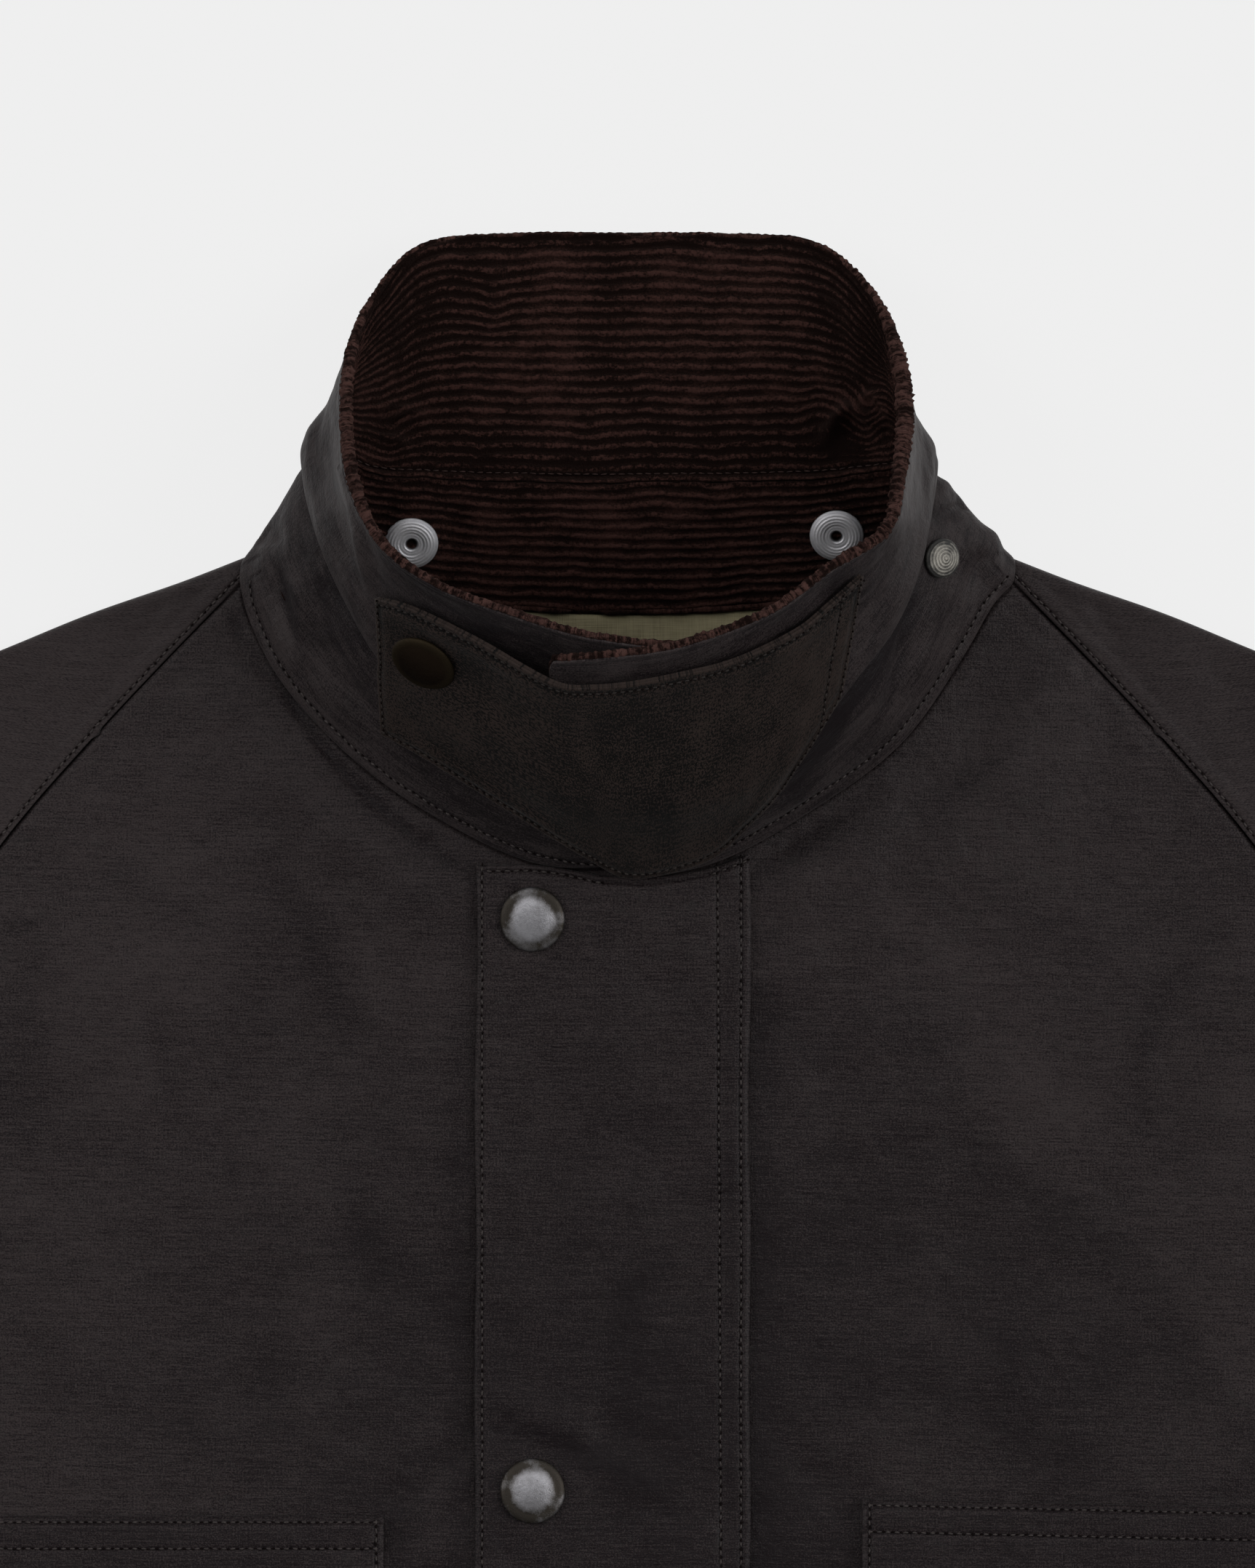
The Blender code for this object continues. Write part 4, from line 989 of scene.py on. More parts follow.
# Painted highlight on the leaf's fold ridges, painted shade in the troughs beside them, and broad
# lighter and darker patches.
LEAF_TONES = (
    (-62, 60, -54, 52, -44, 46, 4, -0.22), (-73, 88, -68, 66, -62.5, 46, 1.3, 0.38),
    (-72, 82, -65.5, 62, -61, 46, 1.4, -0.22), (-78, 78, -73, 60, -64, 42, 2.2, -0.3),
    (70, 92, 70.5, 78, 68, 62, 1.6, 0.5), (67, 60, 60, 50, 54, 44, 3, -0.35),
    (-70, 84, -67, 66, -58, 48, 6, 0.18), (-60, 54, -36, 40, -12, 30, 4.5, -1.1),
    (72, 80, 69, 60, 60, 44, 7, 0.2), (60, 62, 46, 48, 20, 32, 4, -0.4),
)
print(len(STAND_CREASES), "creases on the stand and", len(LEAF_CREASES), "on the leaf")

# %% Make the stand and the leaf
STAND_CUT, LEAF_CUT = (480.0, 42.0), (470.0, 65.0)
COLLAR_COLUMNS, COLLAR_SHELL = 330, 0.75
FOOT_RISE, FOOT_SWELL, FOOT_AT = 0.93, 0.16, 20.2
NECK_ROW, LEAF_ROW, LEAF_TOP = 1.9, 1.962, 1.985
# Rows of the leaf's rolled foot: how far up the collar from `foot_rise`, and how far off it
LEAF_FOOT = (
    (0.055, 1.35), (0.032, 1.6), (0.012, 2.1), (0, 2.8), (0.004, 3.5), (0.022, 4), (0.05, 4.3),
)
LEAF_START, CREASED_BELOW = 0.06, 78


def foot_rise(at):
    """How far up the collar the leaf's rolled foot lies."""
    return FOOT_RISE + FOOT_SWELL * bell(at - FOOT_AT, 0.9)


def collar_face(at, rise, lift, ease, creases, tones):
    """A collar cloth's outer face and its tone, with the painted light and shade of its tables.
    Creases move it off its form, but not where it is sewn, and the wax is worn in streaks around
    the neck."""
    flat, normal = collar_lifted(at, rise, lift)
    x, y = flat[..., 0], flat[..., 1]
    move = creased(x, y, creases) * capped(normal[..., 2] * 3 + 0.4) * (y < CREASED_BELOW)
    move += 0.28 * collar_wander(at, rise, 24, 41) + 0.10 * collar_wander(at, rise, 9, 43)
    move = np.maximum(move * ease, np.minimum(0.15 - lift, 0))
    points = flat + normal * move[..., None]
    streaks = 0.24 * collar_wander(at / 4, rise, 3.0, 46) + 0.24 * collar_wander(at, rise, 9, 47)
    streaks += 0.14 * collar_wander(at, rise, 2.4, 48)
    return points, creased(points[..., 0], points[..., 1], tones) + streaks


def lay_collar(name, at, along, points, stitch, tone, cut):
    uv = np.stack([round_neck(at), along * STAND_HEIGHT], -1)
    grids = facing_out(-1, points, uv, stitch, tone)
    lay_sheet(f"cloth_{name}", name, WAXED, COLLAR_SHELL, grids, cut)


def make_stand():
    shares = np.concatenate([[0.012, 0.022, 0.04, 0.07], np.linspace(0.1, 1.0, 36)])
    at, share = collar_grid(shares, COLLAR_COLUMNS)
    rise = share * (foot_rise(at) + LEAF_START)
    hollow = bell(rise - foot_rise(at), 0.11)
    lift = HALF_BOND + WALL + 0.45 * bell(rise, 0.11, 4) - 0.7 * bell(rise, 0.014) - 0.8 * hollow
    points, tone = collar_face(at, rise, lift, capped(rise / 0.2), STAND_CREASES, STAND_TONES)
    stitch = abs(near_line(points[..., 0], points[..., 1], NECK_LINE)[0] - NECK_ROW)
    stitch = np.where(rise < 0.3, stitch, FAR)
    # Painted shadow in the hollow under the leaf's rolled foot, darkest towards the right end.
    tone -= hollow**2 * (0.6 + 1.5 * capped((at - 18) / 2))
    lay_collar("collar_stand", at, rise, points, stitch, tone, STAND_CUT)


def make_leaf():
    rises = [1.0] * len(LEAF_FOOT) + [*np.linspace(1.09, LEAF_TOP, 38)]
    at, share = collar_grid(rises, COLLAR_COLUMNS)
    foot = foot_rise(at)
    spread = np.clip(share - 1.0, 0, None) / (LEAF_TOP - 1)
    rise = lerp(foot + LEAF_START, LEAF_TOP, spread)
    lift = HALF_BOND + WALL + roll(rise) * 1.05
    for row, (up, off) in enumerate(LEAF_FOOT):
        rise[row], lift[row] = foot[row] + up, off
    ease = capped((rise - foot - LEAF_START) / 0.12) * np.clip((2.0 - rise) / 0.12, 0.15, 1)
    points, tone = collar_face(at, rise, lift, ease, LEAF_CREASES, LEAF_TONES)
    stitch = np.minimum(abs(rise - LEAF_ROW) * STAND_HEIGHT, FAR)
    # Painted highlight along the leaf's rolled foot.
    tone += 0.25 * bell(rise - foot - 0.08, 0.07)
    lay_collar("collar_leaf", at, run_along(points) / STAND_HEIGHT, points, stitch, tone, LEAF_CUT)


make_stand()
make_leaf()

# %% [markdown]
# ## Corduroy inside the collar
# The wales run around the neck. They are real ridges here, 14 on the stand and 22 on the leaf,
# because from above their round tops and dark valleys are what makes it corduroy. `v` of the UV
# map counts wales. Ripples and pinches at the bends come from crease tables of their own.

# %% Creases, bends of the wales and tones, as seen in the open neck
CORD_CREASES = (
    (-19, 132, -17, 108, -19.5, 88, 6, 1.6), (-5, 134, -5, 112, -7, 92, 6, -0.9),
    (-37, 134, -33, 124, -35, 112, 3, 1.2), (-29, 134, -26, 126, -28, 116, 2.6, -0.9),
    (22, 132, 24, 112, 20, 92, 10, 1.2), (-66, 84.5, -60, 85.5, -53, 83.5, 1.4, 1.8),
    (-66, 88.5, -59, 89.5, -50, 87, 1.5, -1), (-64, 92.5, -57, 93, -50, 91.5, 1.4, 1.6),
    (48, 84, 55, 93, 63.5, 87, 1.6, 4.2), (50, 80, 55.5, 86, 60, 82, 1.7, -1.2),
    (57, 95, 62.5, 96, 66, 90, 1.5, 2.2), (44, 118, 50, 112, 55, 102, 3.2, -1),
    (50, 122, 56, 114, 60, 104, 2.6, 1.4), (-46, 72, -44, 66, -46, 56, 3.4, -0.8),
    (-38, 73, -37, 66, -38, 57, 2.4, 0.9), (-5, 72, -4, 64, -5, 54, 2.2, 0.9),
    (34, 72, 36, 64, 34, 54, 4, -0.8), (12, 72, 13.5, 64, 12, 55, 5, 0.7),
)
CORD_BENDS = (
    (57.5, 80, 59.5, 90, 60.5, 100, 4, 1.5), (64, 84, 65, 94, 65, 104, 3, -1.6),
    (46, 84, 48, 92, 50, 100, 5, -0.7), (-60, 78, -59, 86, -58, 94, 4, 0.9),
    (-34, 130, -33, 120, -34, 110, 3, 0.5),
)
# Painted light and shade on the folds and pinches of the corduroy, and painted shade in the hollows
# at its bends and at its sides.
CORD_TONES = (
    (40, 83, 50, 84, 61, 81.5, 3, -0.8), (-60, 82, -40, 80, -10, 79.5, 3, -0.3),
    (-58, 104, -48, 120, -34, 130, 7, -0.3), (66.5, 100, 66, 90, 64, 80, 2.4, -0.55),
    (-18.5, 137, -17, 112, -19, 88, 6, 0.22), (-5, 135, -4, 112, -6, 92, 5, -0.22),
    (24, 136, 22, 112, 24, 90, 12, 0.1), (-46, 132, -52, 112, -58, 92, 13, -0.32),
    (44, 132, 52, 114, 55, 96, 6.5, -0.5), (57, 128, 62.5, 110, 62, 96, 4, -0.7),
    (55, 91, 60, 95, 65.5, 90, 1.4, 0.55), (-46, 90, -34, 85, -20, 84, 6, -0.25),
    (-50, 81, 0, 79, 52, 81, 5.5, -0.34), (44, 88, 50, 88, 55, 84, 3.4, -0.9),
    (48, 80, 54, 82, 58, 79, 2.8, -0.6), (-68, 86, -60, 87, -48, 84, 3, -0.6),
    (-38, 74, -37, 64, -38, 52, 3, 0.2), (-5, 74, -4, 64, -5, 52, 2.6, 0.26),
    (2, 90, 22, 86.5, 46, 86, 4.5, -0.3), (-46, 64, 0, 62, 46, 64, 12, 0.18),
    (-60, 72, -58, 64, -50, 52, 6, -0.25), (60, 74, 58, 66, 50, 54, 6, -0.3),
)
CORD_SHELL, WALE_HEIGHT, WALE_PITCH = 0.8, 0.95, 2.8


def ridges(phase, power):
    """Round tops one apart, from 0 in the valleys to 1."""
    return np.abs(np.sin(np.pi * phase)) ** power


def make_corduroy(name, node, rises, first_wale, wales, cut, columns, seams):
    """A corduroy cloth with its wales counted up from a rise, and with seams at some rises."""
    at, rise = collar_grid(rises, columns)
    seen = collar_point(at, rise)
    drift = 0.16 * collar_wander(at, rise, 22, 61) + 0.08 * collar_wander(at, rise / 2, 5, 62)
    phase = (rise - first_wale) * wales + drift + creased(seen[..., 0], seen[..., 1], CORD_BENDS)
    worn = 1 - 0.65 * bell(rise - 1.12, 0.08) * (0.8 + 0.4 * collar_wander(at, rise, 14, 64))
    uneven = 1 + 0.22 * wander(at * ROW_LENGTH, phase * WALE_PITCH, 3.6, 63)
    sewn = np.min([abs(rise - seam) * STAND_HEIGHT for seam in seams], axis=0)
    pile = WALE_HEIGHT * ridges(phase, 1.25) * uneven * worn - 0.35 * bell(sewn, 0.9)
    flat, normal = collar_lifted(at, rise, -HALF_BOND - 0.6)
    ends = capped(np.minimum(rise - rises[0], rises[-1] - rise) / 0.08)
    inside = normal[..., 2] < 0.2
    move = creased(flat[..., 0], flat[..., 1], CORD_CREASES) * inside * ends
    move += 0.25 * collar_wander(at, rise, 20, 65) * ends
    points = flat - normal * np.maximum(pile + move, -0.3)[..., None]
    tone = creased(points[..., 0], points[..., 1], CORD_TONES)
    tone += 0.09 * collar_wander(at, rise, 8, 66) + 0.06 * collar_wander(at, rise, 3.4, 67)
    grids = points, np.stack([round_neck(at), phase], -1), sewn, tone
    lay_sheet(name, node, CORDUROY, CORD_SHELL, grids, cut)


STAND_RISES, LEAF_RISES = np.linspace(0.02, 0.975, 85), np.linspace(0.978, LEAF_TOP, 133)
LEAF_SEAM = 1.02
make_corduroy("corduroy_of_stand", "corduroy_stand", STAND_RISES, 0, 14, STAND_CUT, 300, (0.97,))
make_corduroy("corduroy_of_leaf", "corduroy_leaf", LEAF_RISES, LEAF_RISES[0], 22, LEAF_CUT, 320,
              (LEAF_SEAM, 1.955))

# %% [markdown]
# ## The corduroy's turned edge
# Around the collar's free edge the corduroy is turned over the waxed cotton. The pile opens
# there into a soft rope of slanting tufts. It is one tube along the edge, whose radius swells
# with each tuft, and it is thicker at the sides, where the collar bends most.

# %% Make the edge
# Columns: collar row, radius, squash
EDGE = (
    (0.4, 0.9, 1), (2, 1, 1), (4, 1.05, 1), (5, 1.3, 1), (6, 1.75, 1), (7, 1.7, 1), (8, 1.5, 1),
    (9, 0.9, 0.9), (10.5, 0.65, 0.8), (13.5, 0.65, 0.8), (15, 1.2, 0.9), (16, 2.15, 1),
    (17, 2.25, 1), (18, 1.9, 1), (19, 1.6, 1), (20, 1.3, 1), (21, 1.15, 1), (22.5, 1.1, 1),
    (23.9, 1, 1),
)
TUFT_PITCH, TUFT_SLANT, EDGE_STEPS, EDGE_SIDES = 2.9, 1.6, 1500, 14


def make_corduroy_edge():
    first, last = (end[0] + end[1] * LEAF_TOP for end in (LEFT_END, RIGHT_END))
    at = np.linspace(first + 0.02, last - 0.16, EDGE_STEPS)
    centre, normal = collar_lifted(at, LEAF_TOP, 0.1)
    up = unit(np.cross(unit(np.gradient(centre, axis=0)), normal))
    climb = collar_point(at, LEAF_TOP + 0 * at) - collar_point(at, 1.5 + 0 * at)
    up *= np.sign(np.sum(up * climb, 1))[:, None]
    length = run_along(centre)
    rows, *columns = np.transpose(EDGE)
    radius, squash = (np.interp(at, rows, column)[:, None] for column in columns)
    turn = np.linspace(0, 2 * np.pi, EDGE_SIDES + 1)[None, :-1]
    place, round_it = length[:, None] + 0 * turn, turn * radius
    phase = place / TUFT_PITCH + turn / (2 * np.pi) * TUFT_SLANT
    tuft = ridges(phase + 0.4 * wander(place, 4 * turn, 6, 71), 0.6)
    inner = capped(-np.cos(turn + 0.6))
    size = 0.74 + 0.26 * tuft * (0.5 + inner) + 0.12 * wander(place, round_it, 2.2, 73)
    size = radius * (size + 0.10 * wander(place, round_it, 0.9, 74))
    size *= 0.15 + 0.85 * capped(np.minimum(length, length[-1] - length) / 1.5)[:, None] ** 0.5
    sideways, upwards = size * np.cos(turn) * squash, size * np.sin(turn) + radius * 0.35
    tube = centre[:, None] + up[:, None] * upwards[..., None]
    tube = (tube + normal[:, None] * sideways[..., None]).reshape(-1, 3)
    quads = grid_quads(np.arange(size.size).reshape(size.shape), ring=True)
    # The gaps between the tufts are painted dark as shade, most on the inner side towards the
    # corduroy.
    tone = (0.3 + 0.9 * inner) * (tuft - 0.85) - 0.30 + 0.26 * wander(place, round_it, 1.3, 75)
    tone += 0.18 * wander(place, round_it, 9, 76)
    values = {"stitch": np.full(size.size, FAR), "tone": tone.ravel()}
    uv = np.stack([place, 0.5 + 0.22 * (tuft - 0.5)], -1).reshape(-1, 2)

    def close(bm):
        bmesh.ops.holes_fill(bm, edges=[edge for edge in bm.edges if edge.is_boundary], sides=0)
        bmesh.ops.recalc_face_normals(bm, faces=bm.faces)

    keep(mesh_piece("corduroy_edge", tube, quads, PILE_EDGE, values, uv, close), "corduroy")
    print("corduroy edge:", round(length[-1]), "mm long,", round(length[-1] / TUFT_PITCH), "tufts")


make_corduroy_edge()

# %% [markdown]
# ## The neck lining
# A strip of plain tan cotton shows inside the back of the neck.

# %% Make the lining
LINING_CUT, LINING_SHELL = (100.0, 34.0), 0.7


def make_lining():
    top = neck_edge(9.4, 14.6, np.linspace(0, 1, 60), -1.4)
    bottom = top * (LINING_TAPER, 1) - (0, LINING_DEPTH + 2.0)
    flat = lerp(bottom[None], top[None], np.linspace(0, 1, 30)[:, None, None])
    x, y = np.moveaxis(flat, -1, 0)
    z = WALL + CLEAR + LINING_WALL + 0.3 * wander(x, y, 18, 81)
    grids = np.stack([x, y, z], -1), flat, FAR + 0 * x, 0 * x
    lay_sheet("cloth_neck_lining", "neck_lining", LINING, LINING_SHELL, grids, LINING_CUT)


make_lining()

# %% [markdown]
# ## The throat tab
# The tab is a double piece of waxed cotton, turned and topstitched, that bridges the collar's
# opening. For each point, `over_collar` looks for the place on the collar straight below it with
# Newton's method, and the tab lies a given lift over that place. Its edge shows two lips with a
# slit between them, where its two layers meet.

# %% Find the tab's surface
def over_collar(x, y, lift, near, step=0.01, tries=14):
    """The collar row and rise whose point, moved off by lift, is at (x, y) seen from above."""
    at, rise = near.copy(), np.full(np.shape(x), 0.6)
    for _ in range(tries):
        here = collar_lifted(at, rise, lift + roll(rise))[0]
        d_at = (collar_lifted(at + step, rise, lift + roll(rise))[0] - here) / step
        d_rise = (collar_lifted(at, rise + step, lift + roll(rise + step))[0] - here) / step
        miss_x, miss_y = x - here[..., 0], y - here[..., 1]
        whole = d_at[..., 0] * d_rise[..., 1] - d_at[..., 1] * d_rise[..., 0]
        at += np.clip((miss_x * d_rise[..., 1] - miss_y * d_rise[..., 0]) / whole, -1, 1)
        rise += np.clip((d_at[..., 0] * miss_y - d_at[..., 1] * miss_x) / whole, -0.3, 0.3)
    return at, rise


def tab_section(column, share):
    """Points up the tab's underside at one of its table's rows. Share 0 is the lower edge."""
    low_x, low_y, top_x, top_y, lift, near = np.moveaxis(smooth_row(TAB, column), -1, 0)
    x, y = lerp(low_x, top_x, share), lerp(low_y, top_y, share)
    at, rise = over_collar(x, y, lift + TAB_WALL, near)
    return collar_lifted(at, rise, lift + roll(rise))[0]


def eased(grid):
    """Each value pulled half way to the mean of its neighbours, down the columns."""
    wide = np.pad(grid, ((1, 1), (0, 0)), mode="reflect", reflect_type="odd")
    return wide[1:-1] * 0.5 + (wide[:-2] + wide[2:]) * 0.25


TAB_CREASES = (
    (-58, 20, -46, 14, -30, 3, 3.5, 0.5), (-44, 36, -36, 24, -24, 14, 4.5, -0.7),
    (-30, 24, -20, 12, -6, 4, 5, 0.5), (-8, 18, 4, 8, 14, -8, 7, -0.5),
    (20, 22, 30, 12, 36, 2, 4.5, 0.6), (34, 30, 42, 20, 46, 12, 3.2, -0.6),
    (-52, 40, -40, 36, -24, 27, 1.6, 0.5), (26, 29, 38, 34, 50, 43, 1.6, 0.5),
)
# Painted light on the tab's ends and painted shade across its middle and along its creases.
TAB_TONES = (
    (-64, 36, -56, 24, -50, 8, 10, 0.52), (-46, 24, -34, 14, -24, 4, 9, 0.24),
    (-14, 12, 0, 2, 14, -10, 16, -0.34), (52, 48, 46, 32, 40, 14, 9, 0.56),
    (14, 18, 24, 12, 32, 2, 4, -0.3), (-10, 20, 4, 18, 18, 20, 3.5, -0.25),
)
TAB_CUT, TAB_SHELL = (135.0, 50.0), 1.7
TAB_SHARES, TAB_COUNT, TAB_EASING = 64, 150, 14
TAB_EDGE_ROW, TAB_END_ROW, TAB_END_PITCH = 0.95, 6.3, 9.5
TAB_PITCH, TAB_HEIGHT, TAB_END_FROM = 10.7, 38.0, 8
TAB_LIPS = ((0.12, 0.22), (0.3, 0.25), (0.47, -0.05), (0.53, -0.05), (0.72, 0.2), (0.9, 0.15))


def make_tab():
    shares, last = np.linspace(0, 1, TAB_SHARES), len(TAB) - 1
    share = shares[:, None] + np.zeros((1, TAB_COUNT))
    column = np.linspace(0, last, TAB_COUNT)[None] + 0 * share
    sections = [tab_section(np.full(TAB_SHARES, float(row)), shares) for row in range(len(TAB))]
    under = smooth_row(np.reshape(sections, (len(TAB), -1)), column[0])
    under = under.reshape(TAB_COUNT, TAB_SHARES, 3).swapaxes(0, 1).copy()
    for _ in range(TAB_EASING):
        under[..., 2] = eased(eased(under[..., 2]).T).T
    normal = grid_normals(under)
    x, y = under[..., 0], under[..., 1]
    ring = np.vstack([under[0], under[1:, -1], under[-1, -2::-1], under[-2:0:-1, 0], under[:1, 0]])
    edge = near_line(x, y, ring)[0]
    puffed = 0.25 * bell(edge - 2.0, 1.2) - 0.18 * bell(edge - TAB_EDGE_ROW, 0.4)
    move = creased(x, y, TAB_CREASES) * capped(edge / 3)
    move += (0.12 * wander(x, y, 14, 91) + puffed) * capped(edge / 2)
    points = under + normal * (TAB_WALL - 0.2 + move)[..., None]
    end_row = abs((last - column) * TAB_END_PITCH - TAB_END_ROW)
    stitch = np.minimum(abs(edge - TAB_EDGE_ROW), np.where(column > TAB_END_FROM, end_row, FAR))
    uv = np.stack([column * TAB_PITCH, share * TAB_HEIGHT], -1)
    tone = creased(x, y, TAB_TONES) + 0.08 * wander(x, y, 5, 93) + 0.14 * wander(x, y, 16, 94)
    # Painted highlight along the tab's edge, and painted shade in a line just inside its top edge,
    # where its two layers part.
    tone += 0.7 * bell(edge, 0.6) - 0.06
    tone -= 1.3 * bell(edge - 1.05, 0.36) * (share > 0.8) * (column < last - 0.2)
    lay_sheet("cloth_throat_tab", "throat_tab", TAB_WAXED, TAB_SHELL, (points, uv, stitch, tone),
              TAB_CUT, TAB_LIPS)


make_tab()

# %% [markdown]
# ## The storm fly
# The fly is a long double strip over the front opening. Its turned edges are a little thicker
# than its middle, and it puckers softly around the snaps that pull on it.

# %% Make the fly
FLY_CREASES = (
    (-36, -150, -20, -157, -6, -160, 4, 0.7), (-35, -158, -22, -164, -8, -166, 3.2, -0.8),
    (-14, -166, 2, -172, 16, -176, 4.5, 0.7), (-14, -158, 4, -163, 14, -166, 4, -0.6),
    (-32, -188, -26, -200, -28, -214, 4, -0.6), (-34, -44, -28, -52, -26, -64, 4, -0.4),
    (-10, -36, 2, -44, 12, -58, 6, -0.4), (-20, -90, -14, -112, -20, -138, 8, 0.45),
    (8, -80, 12, -108, 8, -140, 8, -0.4), (-36, -292, -20, -300, 0, -302, 4, 0.8),
    (-10, -312, 4, -318, 20, -320, 4.5, -0.8), (-34, -440, -18, -446, 4, -444, 4.5, 0.8),
    (-12, -462, 4, -470, 20, -468, 5, -0.8), (-22, -372, -4, -384, 18, -388, 7, 0.7),
)
# Painted shade in the troughs and painted highlight on the folds around the second snap, and broad
# lighter and darker patches.
FLY_TONES = (
    (-31, -156, -8, -167, 13, -178, 2.8, -0.65), (-34, -151, -20, -158, -4, -162, 2.4, 0.25),
    (-4, -150, 0, -128, 13, -116, 3.6, -0.36), (-13, -84, -2, -82, 10, -84, 3.4, -0.24),
    (-28, -40, -22, -70, -26, -110, 9, 0.22), (24.6, -18, 25.2, -110, 25.4, -230, 3.2, -0.34),
    (6, -95, 4, -140, 0, -200, 14, -0.32),
)
FLY_CUT, FLY_SHELL, FLY_LIPS = (70.0, 565.0), 1.3, ((0.25, 0.22), (0.48, 0.02), (0.75, 0.2))
FLY_LEFT_ROW, FLY_RIGHT_ROW, FLY_TOP_ROW = 1.6, 2.0, 1.3
SNAP_X, SNAP_FIRST_Y, SNAP_PITCH, SNAP_COUNT = -23.5, -33.3, 141.7, 4


def fly_inner_row(y):
    """The inner of the two rows at the right drifts a little, as sewn by hand."""
    return 22.2 + 0.9 * capped(-y / 180)


def make_fly():
    up, across = crowded(230, 1.5)[:, None], np.linspace(0, 1, 62)
    top_line = smooth_line(FLY_TOP, 16)
    top_line[:, 1] += 0.9 * bell(top_line[:, 0] - 6, 13, 4)
    top_x, top_y = along_line(top_line, across).T[:, None]
    y = lerp(HEM_Y, top_y, up)
    x = top_x - 0.4 * capped(-(y + 60) / 120) * (1 - across) + 0.25 * wander(0 * y, y, 60, 95)
    left, right, head = x - x[:, :1], x[:, -1:] - x, top_y - y
    edge = np.min([left, right, head], axis=0)
    snaps = [np.hypot(x - SNAP_X, y - SNAP_FIRST_Y + k * SNAP_PITCH) for k in range(SNAP_COUNT)]
    slack = 1 - bell(np.min(snaps, axis=0), 11, 4)
    rows = np.min([abs(left - FLY_LEFT_ROW), abs(right - FLY_RIGHT_ROW),
                   abs(x - fly_inner_row(y)), abs(head - FLY_TOP_ROW)], axis=0)
    move = creased(x, y, FLY_CREASES) * slack
    move += 0.22 * wander(x, y, 26, 97) + 0.09 * wander(x, y, 9, 98)
    move = move * capped(edge / 4) + 0.22 * bell(edge, 6, 4)
    move -= 0.2 * bell(rows, 0.6) + 0.35 * bell(edge, 0.45)
    z = height(x, y) + CLEAR + FLY_WALL - 0.3 + move
    tone = creased(x, y, FLY_TONES) + 0.07 * wander(x, 0.7 * y, 12, 99)
    # Painted highlight along the turned edges, and painted shade that deepens towards the hem.
    tone += 0.12 * bell(edge, 0.6) - 0.32 * capped(-(y + 80) / 80) - 0.22
    grids = np.stack([x, y, z], -1), np.stack([x, y], -1), rows, tone
    lay_sheet("cloth_storm_fly", "storm_fly", WAXED, FLY_SHELL, grids, FLY_CUT,
              FLY_LIPS)


make_fly()

# %% [markdown]
# ## Pockets and flaps
# Each front has a bellows patch pocket under a flap. The flap's top edge is sewn to the front
# with two rows, a topstitch runs round it, and its lower part lies over the slack pocket.

# %% Make the pockets and the flaps
POCKET_CUT, POCKET_SHELL, POCKET_ROW = (190.0, 230.0), 0.8, 2.0
FLAP_CUT, FLAP_SHELL, FLAP_LIPS = (185.0, 68.0), 1.0, ((0.25, 0.25), (0.48, 0.02), (0.75, 0.2))
FLAP_TOP_ROWS, FLAP_SIDE_ROW = (1.5, 8.0), 1.6


def pocket_height(x, y, row, top):
    across = (abs(x) - row["inner"]) / (POCKET_OUTER - row["inner"])
    down = (top - y) / POCKET_LENGTH
    slack = np.sin(np.pi * capped(across)) * np.sin(np.pi * capped(down))
    return height(x, y) + CLEAR + WALL + POCKET_CROWN * slack


def lay_patch(kind, row, grids, wall, cut, lips=ROUNDED):
    name = f"{kind}_{row['name']}"
    grids = facing_out(row["side"], *grids)
    lay_sheet(f"cloth_{name}", name, WAXED, wall, grids, cut, lips)


def make_pocket(row):
    across, down = np.linspace(0, 1, 70)[None], np.linspace(1, 0, 80)[:, None]
    inner = row["inner"] + FLAP_OVERHANG
    x = row["side"] * lerp(inner, POCKET_OUTER, across) + 0 * down
    top = lerp(row["inner_y"], row["outer_y"], across) - FLAP_STEP
    y = top - POCKET_LENGTH * down
    foot = (1 - down) * POCKET_LENGTH + 0 * x
    edge = np.min([abs(x) - inner, POCKET_OUTER - abs(x), foot], axis=0)
    z = pocket_height(x, y, row, top) + 0.5 * wander(x, y, 40, 101) * capped(edge / 12)
    z -= 0.25 * bell(edge - POCKET_ROW, 0.7) + 0.5 * bell(edge, 0.6)
    grids = np.stack([x, y, z], -1), np.stack([x, y], -1), abs(edge - POCKET_ROW), 0 * x
    lay_patch("pocket", row, grids, POCKET_SHELL, POCKET_CUT)


def make_flap(row):
    across = np.linspace(0, 1, 110)[None]
    drop = (FLAP_DEPTH * np.linspace(1, 0, 60) ** 1.3)[:, None] + 0 * across
    x = row["side"] * lerp(row["inner"], POCKET_OUTER + FLAP_OVERHANG, across) + 0 * drop
    top = lerp(row["inner_y"], row["outer_y"], across)
    y = top - drop
    over_pocket = pocket_height(x, y, row, top - FLAP_STEP)
    climb = capped(drop / FLAP_STEP)
    z = lerp(height(x, y), over_pocket, climb * climb * (3 - 2 * climb)) + CLEAR + WALL
    sides = abs(x) - row["inner"], POCKET_OUTER + FLAP_OVERHANG - abs(x)
    edge = np.min([*sides, FLAP_DEPTH - drop], axis=0)
    rows = [abs(edge - FLAP_SIDE_ROW), *(abs(drop - top_row) for top_row in FLAP_TOP_ROWS)]
    rows = np.min(rows, axis=0)
    z += 0.25 * wander(x, y, 30, 103) * capped(edge / 8) * capped(drop / 8)
    z += 0.2 * bell(drop, 7, 6) - 0.2 * bell(rows, 0.6) - 0.3 * bell(np.minimum(edge, drop), 0.5)
    # Painted highlight along the flap's edges; the flap is darker all over.
    grids = np.stack([x, y, z], -1), np.stack([x, y], -1), rows, 0.35 * bell(edge, 0.6) - 0.56
    lay_patch("flap", row, grids, FLAP_SHELL, FLAP_CUT, FLAP_LIPS)


